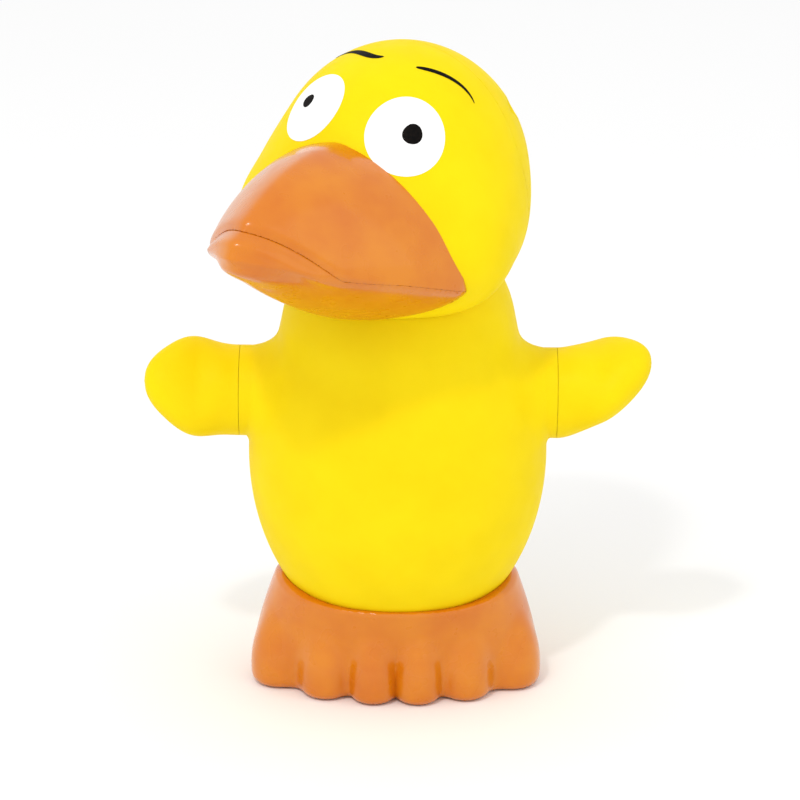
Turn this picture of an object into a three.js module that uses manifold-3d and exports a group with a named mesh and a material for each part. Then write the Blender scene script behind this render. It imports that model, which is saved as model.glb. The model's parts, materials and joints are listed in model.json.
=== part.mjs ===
// A moving mouth duck puppet: soft vinyl shells on a pair of moulded feet, two wings that swivel
// on plugs, and a head on a control stick. The stick is held in a neck gimbal, so the head nods
// and turns, and a trigger on the stick's grip pushes a rod that opens the lower bill.
// Millimetres, +Z up, the duck faces -Y, and the origin is on the floor under its middle.

import * as THREE from 'three';
import { mergeVertices } from 'three/addons/utils/BufferGeometryUtils.js';
import Module from 'manifold-3d';

const wasm = await Module();
wasm.setup();

// ---------------------------------------------------------------- driving dimensions

const DEGREE = Math.PI / 180;
const GAP = 0.3;                                  // clearance between neighbouring pieces
const WALL = 2.6;                                 // wall of the vinyl shells
const FAR = 90;                                   // well clear of anything that a tool box cuts

const BELLY = { z: 54, radii: [33.6, 28.5, 44.8] }; // the belly's ellipsoid
const BELLY_FLOOR = 14.5;                         // where the belly is cut flat over the feet

const NECK = { z: 82, radius: 26.3, mouth: 48 * DEGREE }; // dome about the neck pivot and its opening
const NECK_CLEARANCE = 0.6;                       // between the dome and whatever slides over it

const LEAN = 6.5 * DEGREE;                        // the stick leans forward by this at rest
const TURN = 31.5 * DEGREE;                       // the head looks to its own right by this at rest
const NOD = 10 * DEGREE;                          // the most that it nods either way from there

const HEAD_HEIGHT = 41.7;                         // head centre above the neck pivot, on the stick
const CRANIUM = { centre: [0, 0, -5], radii: [28.1, 29.5, 30.4] };
const MUZZLE = { centre: [0, -6.9, -11.4], radii: [31.7, 26, 21.8] };
const CHEEK = { centre: [20.5, -12, -14.8], radius: 10.6 };
const FACE_SOFTNESS = 6;                          // how softly cranium, muzzle and cheeks run together
const HEAD_PARTING = 6;                           // the head shells meet in this y plane

const BEAK = {
  centre: [0, -21.7, -17.8],                      // of the mouth plane, from the head centre
  pitch: 20 * DEGREE,                             // the mouth plane rises towards the tip
  halfWidth: 29.3,
  length: 48.5,
  crown: 26.8,                                    // height of the upper bill over the mouth plane
  keel: 12.3,                                     // depth of the lower bill under it
  wall: 2.2,
  plan: 1.33,                                     // exponents of its rounded sections
  upper: { out: 2.34, up: 1.43 },
  lower: { out: 1.43, up: 1.43 },
};

// The front of the mouth is an arch over the mouth plane that turns down at its corners.
const MOUTH = { rise: 5.9, drop: 6.8, halfWidth: 16.4, bend: 2, back: -20 };

const JAW = { y: -11, z: 23.5, opening: 15 * DEGREE, pinRadius: 1.25 };

const STICK = { radius: 4.5, bore: 2.6, top: 19, bottom: -19 };
const ROD = { radius: 1, top: 21.7, bottom: -24.6, collarZ: 2 };
const YOKE = { radius: 8.5, halfHeight: 5, trunnion: 3, reach: 14.2 };
const GRIP = { radius: 9.5, top: -10, bottom: -48 };
const TRIGGER = { y: 6.5, z: -26.5, halfThickness: 1.8 };

const WING = { z: 67.8, seat: 35.5, root: 10.2, rootLength: 1.5, length: 20.9, rise: 9.5 };
const WING_PLUG = { radius: 4.8, bossRadius: 13.5, bossFace: 26.5 };
const WING_FLANGE = { radius: 7.6, thickness: 2 };
const LEFT_WING_TURN = 25 * DEGREE;
const RIGHT_WING_TURN = 60 * DEGREE;

const FEET = { halfWidth: 32.4, front: 21.3, frontAtFloor: 17.8, back: 22, height: 25.5, frontHeight: 22.5 };
const TOES = [
  { x: 5, y: -16.4, radius: 5.5 },
  { x: 15.7, y: -13, radius: 5.8 },
  { x: 26.6, y: -5.2, radius: 6 },
];

// ---------------------------------------------------------------- materials

function material(color, roughness, metalness = 0) {
  return new THREE.MeshStandardMaterial({ color, roughness, metalness });
}

const YELLOW_VINYL = material(0xfeea19, 0.62);
const ORANGE_VINYL = material(0xe5792e, 0.28);
const WHITE_PLASTIC = material(0xe9e5da, 0.5);
const GREY_PLASTIC = material(0x6c7075, 0.5);
const STEEL = material(0xb9bdc1, 0.3, 0.9);

// ---------------------------------------------------------------- solids and plain shapes

function solidOf(geometry) {
  const bare = geometry.clone();
  bare.deleteAttribute('normal');
  bare.deleteAttribute('uv');
  const merged = mergeVertices(bare, 1e-4);
  const vertProperties = new Float32Array(merged.attributes.position.array);
  const triVerts = new Uint32Array(merged.index.array);
  return new wasm.Manifold(new wasm.Mesh({ numProp: 3, vertProperties, triVerts }));
}

function geometryOf(solid) {
  const mesh = solid.getMesh();
  const geometry = new THREE.BufferGeometry();
  geometry.setAttribute('position', new THREE.BufferAttribute(mesh.vertProperties, 3));
  geometry.setIndex(new THREE.BufferAttribute(mesh.triVerts, 1));
  geometry.computeVertexNormals();
  return geometry;
}

function join(...solids) {
  return solids.reduce((sum, solid) => sum.add(solid));
}

function cut(solid, ...tools) {
  return tools.reduce((rest, tool) => rest.subtract(tool), solid);
}

function moved(solid, x, y, z) {
  return solid.translate([x, y, z]);
}

function box(low, high) {
  const size = high.map((value, i) => value - low[i]);
  const geometry = new THREE.BoxGeometry(...size);
  geometry.translate(...low.map((value, i) => value + size[i] / 2));
  return solidOf(geometry);
}

// Turns a shape made along +Z so that it runs along the named axis. Its first two coordinates
// become (y, z) for x, (x, z) for y and (x, y) for z.
const ALONG = {
  x: new THREE.Matrix4().makeBasis(
    new THREE.Vector3(0, 1, 0), new THREE.Vector3(0, 0, 1), new THREE.Vector3(1, 0, 0)),
  y: new THREE.Matrix4().makeBasis(
    new THREE.Vector3(1, 0, 0), new THREE.Vector3(0, 0, -1), new THREE.Vector3(0, 1, 0)),
  z: new THREE.Matrix4(),
};

function barrel(axis, radius, from, to, centre = [0, 0], sides = 12) {
  const geometry = new THREE.CylinderGeometry(radius, radius, to - from, sides);
  geometry.rotateX(Math.PI / 2);
  geometry.translate(centre[0], axis === 'y' ? -centre[1] : centre[1], (from + to) / 2);
  geometry.applyMatrix4(ALONG[axis]);
  return solidOf(geometry);
}

// A barrel along x on one side of the middle plane, between two distances from it.
function sideBarrel(side, radius, near, far, centre = [0, 0], sides = 12) {
  return barrel('x', radius, ...(side > 0 ? [near, far] : [-far, -near]), centre, sides);
}

function ball(radius, centre = [0, 0, 0], around = 24, along = 16) {
  const geometry = new THREE.SphereGeometry(radius, around, along);
  geometry.rotateX(Math.PI / 2);
  geometry.translate(...centre);
  return solidOf(geometry);
}

// A solid cone standing on its point at the origin and opening along +Z.
function coneUp(halfAngle, height = 50) {
  const geometry = new THREE.ConeGeometry(height * Math.tan(halfAngle), height, 32);
  geometry.rotateX(-Math.PI / 2);
  geometry.translate(0, 0, height / 2);
  return solidOf(geometry);
}

// A plate cut to a side view: outline points are (y, z) and it runs across x.
function sidePlate(outline, from, to) {
  const shape = new THREE.Shape(outline.map(([y, z]) => new THREE.Vector2(y, z)));
  const geometry = new THREE.ExtrudeGeometry(shape, { depth: to - from, bevelEnabled: false });
  geometry.translate(0, 0, from);
  geometry.applyMatrix4(ALONG.x);
  return solidOf(geometry);
}

// A turned piece about +Z from (radius, z) points that start and end on the axis.
function turned(profile, sides = 12) {
  const points = profile.map(([radius, z]) => new THREE.Vector2(radius, z));
  const geometry = new THREE.LatheGeometry(points, sides);
  geometry.rotateX(Math.PI / 2);
  return geometry;
}

// ---------------------------------------------------------------- free-form surfaces

// Signed fields, negative inside, in about millimetres near the surface.
function ellipsoidField(point, { centre, radii }) {
  const scaled = radii.map((radius, i) => (point.getComponent(i) - centre[i]) / radius);
  return (Math.hypot(...scaled) - 1) * Math.min(...radii);
}

function blend(a, b, softness) {
  const share = THREE.MathUtils.clamp(0.5 + (0.5 * (b - a)) / softness, 0, 1);
  return b * (1 - share) + a * share - softness * share * (1 - share);
}

function bodyField(point) {
  const belly = ellipsoidField(point, { centre: [0, 0, 0], radii: BELLY.radii });
  const neck = Math.hypot(point.x, point.y, point.z - (NECK.z - BELLY.z)) - NECK.radius;
  return blend(belly, neck, 2);
}

function headField(point) {
  const cheek = Math.hypot(
    Math.abs(point.x) - CHEEK.centre[0],
    point.y - CHEEK.centre[1],
    point.z - CHEEK.centre[2],
  ) - CHEEK.radius;
  const skull = blend(ellipsoidField(point, CRANIUM), ellipsoidField(point, MUZZLE), FACE_SOFTNESS);
  return blend(skull, cheek, FACE_SOFTNESS);
}

// The beak about the middle of its mouth plane, pointing along -Y: a rounded dart in plan, with
// a peaked upper bill and a full lower bill.
function beakField(point) {
  const plan = (Math.abs(point.x / BEAK.halfWidth) ** BEAK.plan
    + Math.abs(point.y / BEAK.length) ** BEAK.plan) ** (1 / BEAK.plan);
  const { out, up } = point.z > 0 ? BEAK.upper : BEAK.lower;
  const depth = point.z > 0 ? BEAK.crown : BEAK.keel;
  return plan ** out + Math.abs(point.z / depth) ** up - 1;
}

function reach(field, direction, limit) {
  let inside = 0;
  let outside = limit;
  const point = new THREE.Vector3();
  for (let step = 0; step < 26; step += 1) {
    const middle = (inside + outside) / 2;
    point.copy(direction).multiplyScalar(middle);
    if (field(point) < 0) inside = middle;
    else outside = middle;
  }
  return inside;
}

// A closed surface seen from its middle: a sphere whose points are pushed out to the field's
// skin, `offset` beyond it. Its poles lie on the given axis.
function starSolid(field, limit, offset, around, along, poles = 'z') {
  const geometry = new THREE.SphereGeometry(1, around, along);
  if (poles === 'z') geometry.rotateX(Math.PI / 2);
  const position = geometry.attributes.position;
  const direction = new THREE.Vector3();
  for (let i = 0; i < position.count; i += 1) {
    direction.fromBufferAttribute(position, i).normalize();
    const radius = reach(field, direction, limit) + offset;
    position.setXYZ(i, ...direction.multiplyScalar(radius).toArray());
  }
  return solidOf(geometry);
}

function bodySolid(offset, around, along) {
  return moved(starSolid(bodyField, 90, offset, around, along), 0, 0, BELLY.z);
}

function headSolid(offset, around, along) {
  return starSolid(headField, 80, offset, around, along);
}

// The beak in the head centre's frame.
function placedOnBeak(solid) {
  return moved(solid.rotate([-BEAK.pitch / DEGREE, 0, 0]), ...BEAK.centre);
}

function beakSolid(offset, around, along) {
  return starSolid(beakField, 90, offset, around, along, 'y');
}

// A bar along y under the mouth's arch, with the arch lifted by a little.
function mouthArch(lift, back) {
  const { rise, drop, halfWidth, bend } = MOUTH;
  const reachX = halfWidth * (rise / drop) ** (1 / bend);
  const steps = 16;
  const shape = new THREE.Shape();
  shape.moveTo(-reachX, 1);
  for (let i = 0; i <= steps; i += 1) {
    const x = reachX * ((2 * i) / steps - 1);
    shape.lineTo(x, drop * Math.abs(x / halfWidth) ** bend - rise - lift);
  }
  shape.lineTo(reachX, 1);
  const geometry = new THREE.ExtrudeGeometry(shape, { depth: FAR, bevelEnabled: false });
  geometry.translate(0, 0, back - FAR);
  geometry.applyMatrix4(ALONG.y);
  return solidOf(geometry);
}

// ---------------------------------------------------------------- fasteners

const SCREW = { shaft: 1.1, hole: 1.35, head: 2.3, headHeight: 1.5 };
const POST = { plate: 3.4, floor: 3.6, body: 4.2, bracket: 3.2, head: 3.9, frame: 3, beak: 3 }; // radii

// A screw along +Z, its head's underside at 0 and its tip at `length`.
function screwGeometry(length) {
  return turned([
    [0, -SCREW.headHeight],
    [SCREW.head, -SCREW.headHeight],
    [SCREW.head, 0],
    [SCREW.shaft, 0],
    [SCREW.shaft, length - 1],
    [0, length],
  ], 8);
}

// ---------------------------------------------------------------- assembly helpers

const SIDES = [['left', 1], ['right', -1]];       // the duck's own left is towards +X

const group = new THREE.Group();
const nodGroup = new THREE.Group();
nodGroup.position.z = NECK.z;
nodGroup.rotation.x = LEAN;
group.add(nodGroup);
const stickGroup = new THREE.Group();
stickGroup.rotation.z = -TURN;
nodGroup.add(stickGroup);
const headGroup = new THREE.Group();
headGroup.position.z = HEAD_HEIGHT;
stickGroup.add(headGroup);

function add(parent, name, shape, finish) {
  const geometry = shape.isBufferGeometry ? shape : geometryOf(shape);
  const mesh = new THREE.Mesh(geometry, finish);
  mesh.name = name;
  parent.add(mesh);
  return mesh;
}

// Adds a screw with its head's underside at `position`, pointing along the given direction.
function addScrew(parent, name, position, direction, length) {
  const mesh = add(parent, name, screwGeometry(length), STEEL);
  mesh.position.set(...position);
  mesh.quaternion.setFromUnitVectors(new THREE.Vector3(0, 0, 1), new THREE.Vector3(...direction));
}

// ---------------------------------------------------------------- feet

// Distance from the middle to the far side of a toe's circle, along a heading in plan.
function toeReach(toe, side, heading) {
  const along = side * toe.x * Math.sin(heading) - toe.y * Math.cos(heading);
  const across = toe.x ** 2 + toe.y ** 2 - along ** 2;
  if (along < 0 || across > toe.radius ** 2) return 0;
  return along + Math.sqrt(toe.radius ** 2 - across);
}

// The feet's plan at a heading measured from straight ahead and a level from 0 to 1.
function feetPlan(heading, level) {
  const front = THREE.MathUtils.lerp(FEET.frontAtFloor, FEET.front, level);
  const depth = Math.cos(heading) > 0 ? front : FEET.back;
  const taper = 1 - 0.16 * Math.max(0, (level - 0.25) / 0.75) ** 1.4;
  const plain = 1 / Math.hypot(Math.sin(heading) / (FEET.halfWidth * taper), Math.cos(heading) / depth);
  const toes = TOES.flatMap((toe) => [toeReach(toe, 1, heading), toeReach(toe, -1, heading)]);
  const toeShare = 1 - THREE.MathUtils.smoothstep(level, 0.35, 0.9);
  return plain + toeShare * Math.max(0, Math.max(...toes) - plain);
}

function feetRimHeight(heading) {
  return FEET.frontHeight + (FEET.height - FEET.frontHeight) * Math.sin(heading) ** 6;
}

// The block of both feet: a tapering cup, rounded under its edge, with six toes in front.
function feetBlock(inset, around, rows) {
  const geometry = new THREE.CylinderGeometry(1, 1, 1, around, rows);
  geometry.rotateX(Math.PI / 2);
  const position = geometry.attributes.position;
  for (let i = 0; i < position.count; i += 1) {
    const share = Math.hypot(position.getX(i), position.getY(i));
    const heading = Math.atan2(position.getX(i), -position.getY(i));
    const level = position.getZ(i) + 0.5;
    const roundedUnder = 1 - 0.06 * (1 - Math.min(1, level / 0.25)) ** 2;
    const radius = share * (feetPlan(heading, level) * roundedUnder - inset);
    position.setXYZ(
      i,
      radius * Math.sin(heading),
      -radius * Math.cos(heading),
      level * feetRimHeight(heading),
    );
  }
  return solidOf(geometry);
}

const BASE_PLATE = { thickness: 2.4, screws: [[16, 9], [-16, 9], [16, -7], [-16, -7]] };
const CAVITY_ROOF = 10;
const BELLY_SCREWS = { front: -9, back: 9 };
// The slice of a solid between two heights.
function slice(solid, low, high) {
  return solid.intersect(box([-FAR, -FAR, low], [FAR, FAR, high]));
}

function feetBase() {
  const cavity = slice(feetBlock(4, 24, 1), -1, CAVITY_ROOF);
  const recess = slice(feetBlock(2, 60, 1), -1, BASE_PLATE.thickness + GAP);
  const belly = slice(bodySolid(GAP, 36, 20), BELLY_FLOOR - GAP, FAR);
  const posts = BASE_PLATE.screws.map((centre) => (
    barrel('z', POST.plate, BASE_PLATE.thickness + GAP, CAVITY_ROOF + 1, centre)));
  const plateHoles = BASE_PLATE.screws.map((centre) => barrel('z', SCREW.hole, -1, 9, centre, 8));
  const bellyHoles = Object.values(BELLY_SCREWS).map((y) => (
    barrel('z', SCREW.hole, CAVITY_ROOF - 1, BELLY_FLOOR + 1, [0, y], 8)));
  const block = cut(feetBlock(0, 72, 5), cavity, recess, belly);
  return cut(join(block, ...posts), ...plateHoles, ...bellyHoles);
}

function basePlate() {
  const { thickness, screws } = BASE_PLATE;
  const plate = slice(feetBlock(2 + GAP, 60, 1), 0, thickness);
  const wells = screws.map((centre) => (
    barrel('z', SCREW.head + GAP, -1, SCREW.headHeight + 0.2, centre, 10)));
  const holes = screws.map((centre) => barrel('z', SCREW.hole, -1, thickness + 1, centre, 8));
  return cut(plate, ...wells, ...holes);
}

add(group, 'feet_base', feetBase(), ORANGE_VINYL);
add(group, 'base_plate', basePlate(), ORANGE_VINYL);
BASE_PLATE.screws.forEach(([x, y], i) => {
  addScrew(group, `base_screw_${i + 1}`, [x, y, SCREW.headHeight + 0.1], [0, 0, 1], 6.5);
});
Object.entries(BELLY_SCREWS).forEach(([name, y]) => {
  addScrew(group, `belly_screw_${name}`, [0, y, CAVITY_ROOF - 0.1], [0, 0, 1], 11);
});

// ---------------------------------------------------------------- body shells

const BODY_SCREWS = [[19, 86], [-19, 86], [22, 33], [-22, 33]];
const BODY_SCREW_SEAT = 8;
const BRACKET_SCREWS = { x: 8, z: 75, face: 18.5 };
const HAND_OPENING = { halfWidth: 16, low: 30, high: 70, corner: 12 };

function handOpening() {
  const { halfWidth, low, high, corner } = HAND_OPENING;
  const shape = new THREE.Shape();
  shape.moveTo(-halfWidth + corner, -high);
  shape.lineTo(halfWidth - corner, -high);
  shape.absarc(halfWidth - corner, -high + corner, corner, -Math.PI / 2, 0);
  shape.absarc(halfWidth - corner, -low - corner, corner, 0, Math.PI / 2);
  shape.absarc(-halfWidth + corner, -low - corner, corner, Math.PI / 2, Math.PI);
  shape.absarc(-halfWidth + corner, -high + corner, corner, Math.PI, 1.5 * Math.PI);
  const geometry = new THREE.ExtrudeGeometry(shape, { depth: 40, bevelEnabled: false, curveSegments: 5 });
  geometry.translate(0, 0, 5);
  geometry.applyMatrix4(ALONG.y);
  return solidOf(geometry);
}

// Posts inside the body that its screws and the wings' plugs are held in.
function bodyBosses() {
  const { bossRadius, bossFace } = WING_PLUG;
  return join(
    ...[-1, 1].map((side) => sideBarrel(side, bossRadius, bossFace, WING.seat, [0, WING.z])),
    ...BODY_SCREWS.map((centre) => barrel('y', POST.body, -30, 30, centre, 10)),
    ...bracketPosts(POST.bracket, BRACKET_SCREWS.face + 0.1, 35, 16),
    ...Object.values(BELLY_SCREWS).map((y) => barrel('z', POST.floor, BELLY_FLOOR, 24, [0, y], 16)),
  );
}

function bodyHoles() {
  return [
    ...[-1, 1].map((side) => sideBarrel(side, WING_PLUG.radius + GAP, 20, 40, [0, WING.z])),
    ...BODY_SCREWS.map((centre) => barrel('y', SCREW.hole, -8, 30, centre, 8)),
    ...BODY_SCREWS.map((centre) => barrel('y', SCREW.head + GAP, BODY_SCREW_SEAT, 30, centre, 10)),
    ...bracketPosts(SCREW.hole, 10, 25, 8),
    ...Object.values(BELLY_SCREWS).map((y) => barrel('z', SCREW.hole, 10, 22.5, [0, y], 8)),
  ];
}

// Barrels along y at the two bracket screws.
function bracketPosts(radius, from, to, sides) {
  return [-1, 1].map((side) => (
    barrel('y', radius, from, to, [side * BRACKET_SCREWS.x, BRACKET_SCREWS.z], sides)));
}

// The whole body casing, before it is parted into a front and a back.
function bodyCasing() {
  const outer = bodySolid(0, 36, 20);
  const hollow = slice(bodySolid(-WALL, 20, 12), BELLY_FLOOR + WALL, 120);
  const neckHole = moved(coneUp(NECK.mouth).rotate([LEAN / DEGREE, 0, 0]), 0, 0, NECK.z);
  const wingCollars = [-1, 1].map((side) => (
    sideBarrel(side, WING.root, WING_PLUG.bossFace, WING.seat, [0, WING.z], 32)));
  const open = join(cut(outer, hollow), bodyBosses().intersect(outer), ...wingCollars);
  return slice(cut(open, neckHole, ...bodyHoles()), BELLY_FLOOR, 120);
}

const casing = bodyCasing();
const frontHalf = box([-FAR, -FAR, 0], [FAR, 0, 130]);
const backHalf = box([-FAR, GAP, 0], [FAR, FAR, 130]);
add(group, 'body_front_shell', casing.intersect(frontHalf), YELLOW_VINYL);
add(group, 'body_back_shell', cut(casing.intersect(backHalf), handOpening()), YELLOW_VINYL);
BODY_SCREWS.forEach(([x, z], i) => {
  addScrew(group, `body_screw_${i + 1}`, [x, BODY_SCREW_SEAT + 0.1, z], [0, -1, 0], 14);
});

// ---------------------------------------------------------------- neck gimbal

const BRACKET_ARM = { inner: 11, outer: 14 };

function neckBracket() {
  const outline = [[-5.5, 87.5], [-5.5, 76.5], [12, 70], [18.5, 70], [18.5, 80], [5.5, 87.5]];
  const arms = [
    sidePlate(outline, BRACKET_ARM.inner, BRACKET_ARM.outer),
    sidePlate(outline, -BRACKET_ARM.outer, -BRACKET_ARM.inner),
  ];
  const bar = box([-BRACKET_ARM.outer, 15.5, 70], [BRACKET_ARM.outer, BRACKET_SCREWS.face, 80]);
  const bearings = barrel('x', YOKE.trunnion + GAP, -20, 20, [0, NECK.z]);
  return cut(join(...arms, bar), bearings, ...bracketPosts(SCREW.hole, 10, 25, 8));
}

function neckYoke() {
  const bush = barrel('z', YOKE.radius, -YOKE.halfHeight, YOKE.halfHeight);
  const trunnions = barrel('x', YOKE.trunnion, -YOKE.reach, YOKE.reach);
  return cut(join(bush, trunnions), barrel('z', STICK.radius + GAP, -10, 10));
}

add(group, 'neck_bracket', neckBracket(), WHITE_PLASTIC);
SIDES.forEach(([name, side]) => {
  const seat = [side * BRACKET_SCREWS.x, 15.4, BRACKET_SCREWS.z];
  addScrew(group, `bracket_screw_${name}`, seat, [0, 1, 0], 9);
});
add(nodGroup, 'neck_yoke', neckYoke(), GREY_PLASTIC);

// ---------------------------------------------------------------- wings

// A curved paddle from its root at x = 0 out along +X, rising along +Z, with its plug behind.
function wingSolid() {
  const { root, rootLength, length, rise, seat } = WING;
  const geometry = new THREE.CylinderGeometry(1, 1, 1, 20, 10);
  geometry.rotateZ(-Math.PI / 2);
  const position = geometry.attributes.position;
  for (let i = 0; i < position.count; i += 1) {
    const along = position.getX(i) + 0.5;
    const beyond = Math.max(0, (along * length - rootLength) / (length - rootLength));
    const tip = Math.sqrt(Math.max(0.0004, 1 - Math.max(0, (along - 0.28) / 0.72) ** 2.4));
    const halfWidth = (root + 1.4 * Math.sin(Math.PI * Math.min(1, beyond * 1.1)) ** 2) * tip;
    const halfThickness = (root - 2.4 * THREE.MathUtils.smoothstep(beyond, 0, 0.4)) * tip;
    position.setXYZ(
      i,
      along * length,
      position.getY(i) * halfWidth,
      position.getZ(i) * halfThickness + rise * beyond,
    );
  }
  const bossFace = WING_PLUG.bossFace - seat - GAP;
  const plug = barrel('x', WING_PLUG.radius, bossFace - 1, 1);
  const { radius, thickness } = WING_FLANGE;
  const flange = barrel('x', radius, bossFace - GAP - thickness, bossFace - GAP);
  return join(solidOf(geometry), plug, flange);
}

function addWing(name, side, turn) {
  const paddle = side > 0 ? wingSolid() : wingSolid().mirror([1, 0, 0]);
  const wing = add(group, name, paddle, YELLOW_VINYL);
  wing.position.set(side * (WING.seat + GAP), 0, WING.z);
  wing.rotation.x = turn;
}

addWing('left_wing', 1, LEFT_WING_TURN);
addWing('right_wing', -1, RIGHT_WING_TURN);

// ---------------------------------------------------------------- stick, rod, grip and trigger

const GRIP_SCREW_Z = -14;
const FRAME_SCREW_Z = 10;

function controlStick() {
  const tube = solidOf(turned([
    [0, STICK.bottom],
    [STICK.radius, STICK.bottom],
    [STICK.radius, -YOKE.halfHeight - 2.3],
    [STICK.radius + 2, -YOKE.halfHeight - 2.3],
    [STICK.radius + 2, -YOKE.halfHeight - GAP],
    [STICK.radius, -YOKE.halfHeight - GAP],
    [STICK.radius, STICK.top],
    [0, STICK.top],
  ], 24));
  const bore = barrel('z', STICK.bore, STICK.bottom - 1, 15, [0, 0], 16);
  const guide = barrel('z', ROD.radius + GAP, 14, STICK.top + 1, [0, 0], 16);
  const dimples = [
    barrel('x', SCREW.hole, 0, 10, [0, GRIP_SCREW_Z], 12),
    barrel('x', SCREW.hole, 0, 10, [0, FRAME_SCREW_Z], 12),
  ];
  return cut(tube, bore, guide, ...dimples);
}

// A wire with rounded ends and a collar that the return spring bears on.
function pushRodGeometry() {
  const { radius, top, bottom, collarZ } = ROD;
  return turned([
    [0, bottom],
    [radius * 0.7, bottom + 0.3],
    [radius, bottom + 1],
    [radius, collarZ],
    [2.2, collarZ],
    [2.2, collarZ + 2],
    [radius, collarZ + 2],
    [radius, top - 1],
    [radius * 0.7, top - 0.3],
    [0, top],
  ], 12);
}

class Helix extends THREE.Curve {
  constructor(radius, low, high, turns) {
    super();
    Object.assign(this, { radius, low, high, turns });
  }

  getPoint(t, target = new THREE.Vector3()) {
    const angle = t * this.turns * 2 * Math.PI;
    const z = this.low + t * (this.high - this.low);
    return target.set(this.radius * Math.cos(angle), this.radius * Math.sin(angle), z);
  }
}

function coilGeometry(coil, wireRadius, steps) {
  const section = new THREE.Shape();
  section.absarc(0, 0, wireRadius, 0, 2 * Math.PI);
  const options = { steps, extrudePath: coil, bevelEnabled: false, curveSegments: 3 };
  return new THREE.ExtrudeGeometry(section, options);
}

function gripSolid() {
  const { radius, top, bottom } = GRIP;
  const handle = solidOf(turned([
    [0, bottom],
    [radius - 2.5, bottom],
    [radius, bottom + 2.5],
    [radius - 1.2, (top + bottom) / 2],
    [radius, top - 5],
    [radius - 2, top],
    [0, top],
  ], 24));
  const socket = barrel('z', STICK.radius + 0.15, STICK.bottom - GAP, 0, [0, 0], 24);
  const rodBore = barrel('z', ROD.radius + GAP, -30, 0, [0, 0], 16);
  const slotHalf = TRIGGER.halfThickness + GAP;
  const slot = box([-slotHalf, -3.5, bottom - 1], [slotHalf, 12, -21.5]);
  const pinHole = barrel('x', 1.3, -12, 12, [TRIGGER.y, TRIGGER.z], 12);
  const screwHole = barrel('x', SCREW.hole, 0, 12, [0, GRIP_SCREW_Z], 12);
  const screwWell = barrel('x', SCREW.head + GAP, 7.2, 12, [0, GRIP_SCREW_Z], 16);
  return cut(handle, socket, rodBore, slot, pinHole, screwHole, screwWell);
}

// A bell crank: a thumb lever down the back of the grip and a short arm under the rod.
function triggerSolid() {
  const { y, z, halfThickness } = TRIGGER;
  const armTop = ROD.bottom - GAP;
  const outline = [
    [-1.2, armTop], [y + 1, z + 2.6], [y + 3.4, z + 0.5], [y + 6.5, -44],
    [y + 5, -46.5], [y + 3, -45.5], [y - 1, z - 2.6], [-1.2, armTop - 2],
  ];
  const lever = sidePlate(outline, -halfThickness, halfThickness);
  const hub = barrel('x', 2.6, -halfThickness, halfThickness, [y, z]);
  return cut(join(lever, hub), barrel('x', 1.3, -5, 5, [y, z], 12));
}

add(stickGroup, 'control_stick', controlStick(), WHITE_PLASTIC);
add(stickGroup, 'push_rod', pushRodGeometry(), STEEL);
add(stickGroup, 'return_spring', coilGeometry(new Helix(1.8, 4.5, 14.5, 6), 0.28, 48), STEEL);
add(stickGroup, 'grip', gripSolid(), GREY_PLASTIC);
add(stickGroup, 'trigger', triggerSolid(), ORANGE_VINYL);
add(stickGroup, 'trigger_pin', barrel('x', 1, -8, 8, [TRIGGER.y, TRIGGER.z], 12), STEEL);
addScrew(stickGroup, 'grip_screw', [7.3, 0, GRIP_SCREW_Z], [-1, 0, 0], 4.1);

// ---------------------------------------------------------------- head frame and jaw hinge

const FRAME_CHEEK = { inner: 8.5, outer: 11 };
const FRAME_SCREWS = { x: 7, z: 36.2, face: 11.5 };

// Everything on the head that dips below the neck dome's rim stays inside this cone.
const NECK_CONE = NECK.mouth - NOD - 1 * DEGREE;

function neckKeepOut() {
  const dome = ball(NECK.radius + NECK_CLEARANCE).subtract(ball(NECK.radius - WALL - 1.2));
  return dome.subtract(coneUp(NECK_CONE));
}

function headFrame() {
  const { inner, outer } = FRAME_CHEEK;
  const collar = barrel('z', 7.6, YOKE.halfHeight + GAP, STICK.top);
  const shelf = box([-outer, -7, 16.5], [outer, 7, STICK.top]);
  const outline = [
    [-14.2, 20.3], [-8.5, 20.3], [-7, 16.5], [9, 16.5], [9, 33.5], [-7, 33.5], [-7, 30], [-14.2, 26.7],
  ];
  const cheeks = [sidePlate(outline, inner, outer), sidePlate(outline, -outer, -inner)];
  const roof = box([-outer, -7, 31], [outer, 9, 33.5]);
  const flange = box([-outer, 8, 22.5], [outer, FRAME_SCREWS.face, 39.5]);
  const bore = barrel('z', STICK.radius + 0.15, 0, 40, [0, 0], 24);
  const pinHole = barrel('x', JAW.pinRadius + GAP, -20, 20, [JAW.y, JAW.z], 16);
  const screwHole = barrel('x', SCREW.hole, 0, 20, [0, FRAME_SCREW_Z], 12);
  const flangeHoles = [-1, 1].map((side) => (
    barrel('y', SCREW.hole, 0, 20, [side * FRAME_SCREWS.x, FRAME_SCREWS.z], 8)));
  return cut(join(collar, shelf, ...cheeks, roof, flange), bore, pinHole, screwHole,
    ...flangeHoles, neckKeepOut());
}

add(stickGroup, 'head_frame', headFrame(), WHITE_PLASTIC);
addScrew(stickGroup, 'stick_screw', [7.8, 0, FRAME_SCREW_Z], [-1, 0, 0], 4.6);
add(stickGroup, 'jaw_pin', barrel('x', JAW.pinRadius, -11.5, 11.5, [JAW.y, JAW.z], 16), STEEL);
SIDES.forEach(([name, side]) => {
  const seat = [side * FRAME_SCREWS.x, 7.9, FRAME_SCREWS.z];
  addScrew(stickGroup, `frame_screw_${name}`, seat, [0, 1, 0], 11);
});

// ---------------------------------------------------------------- head shells

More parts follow.
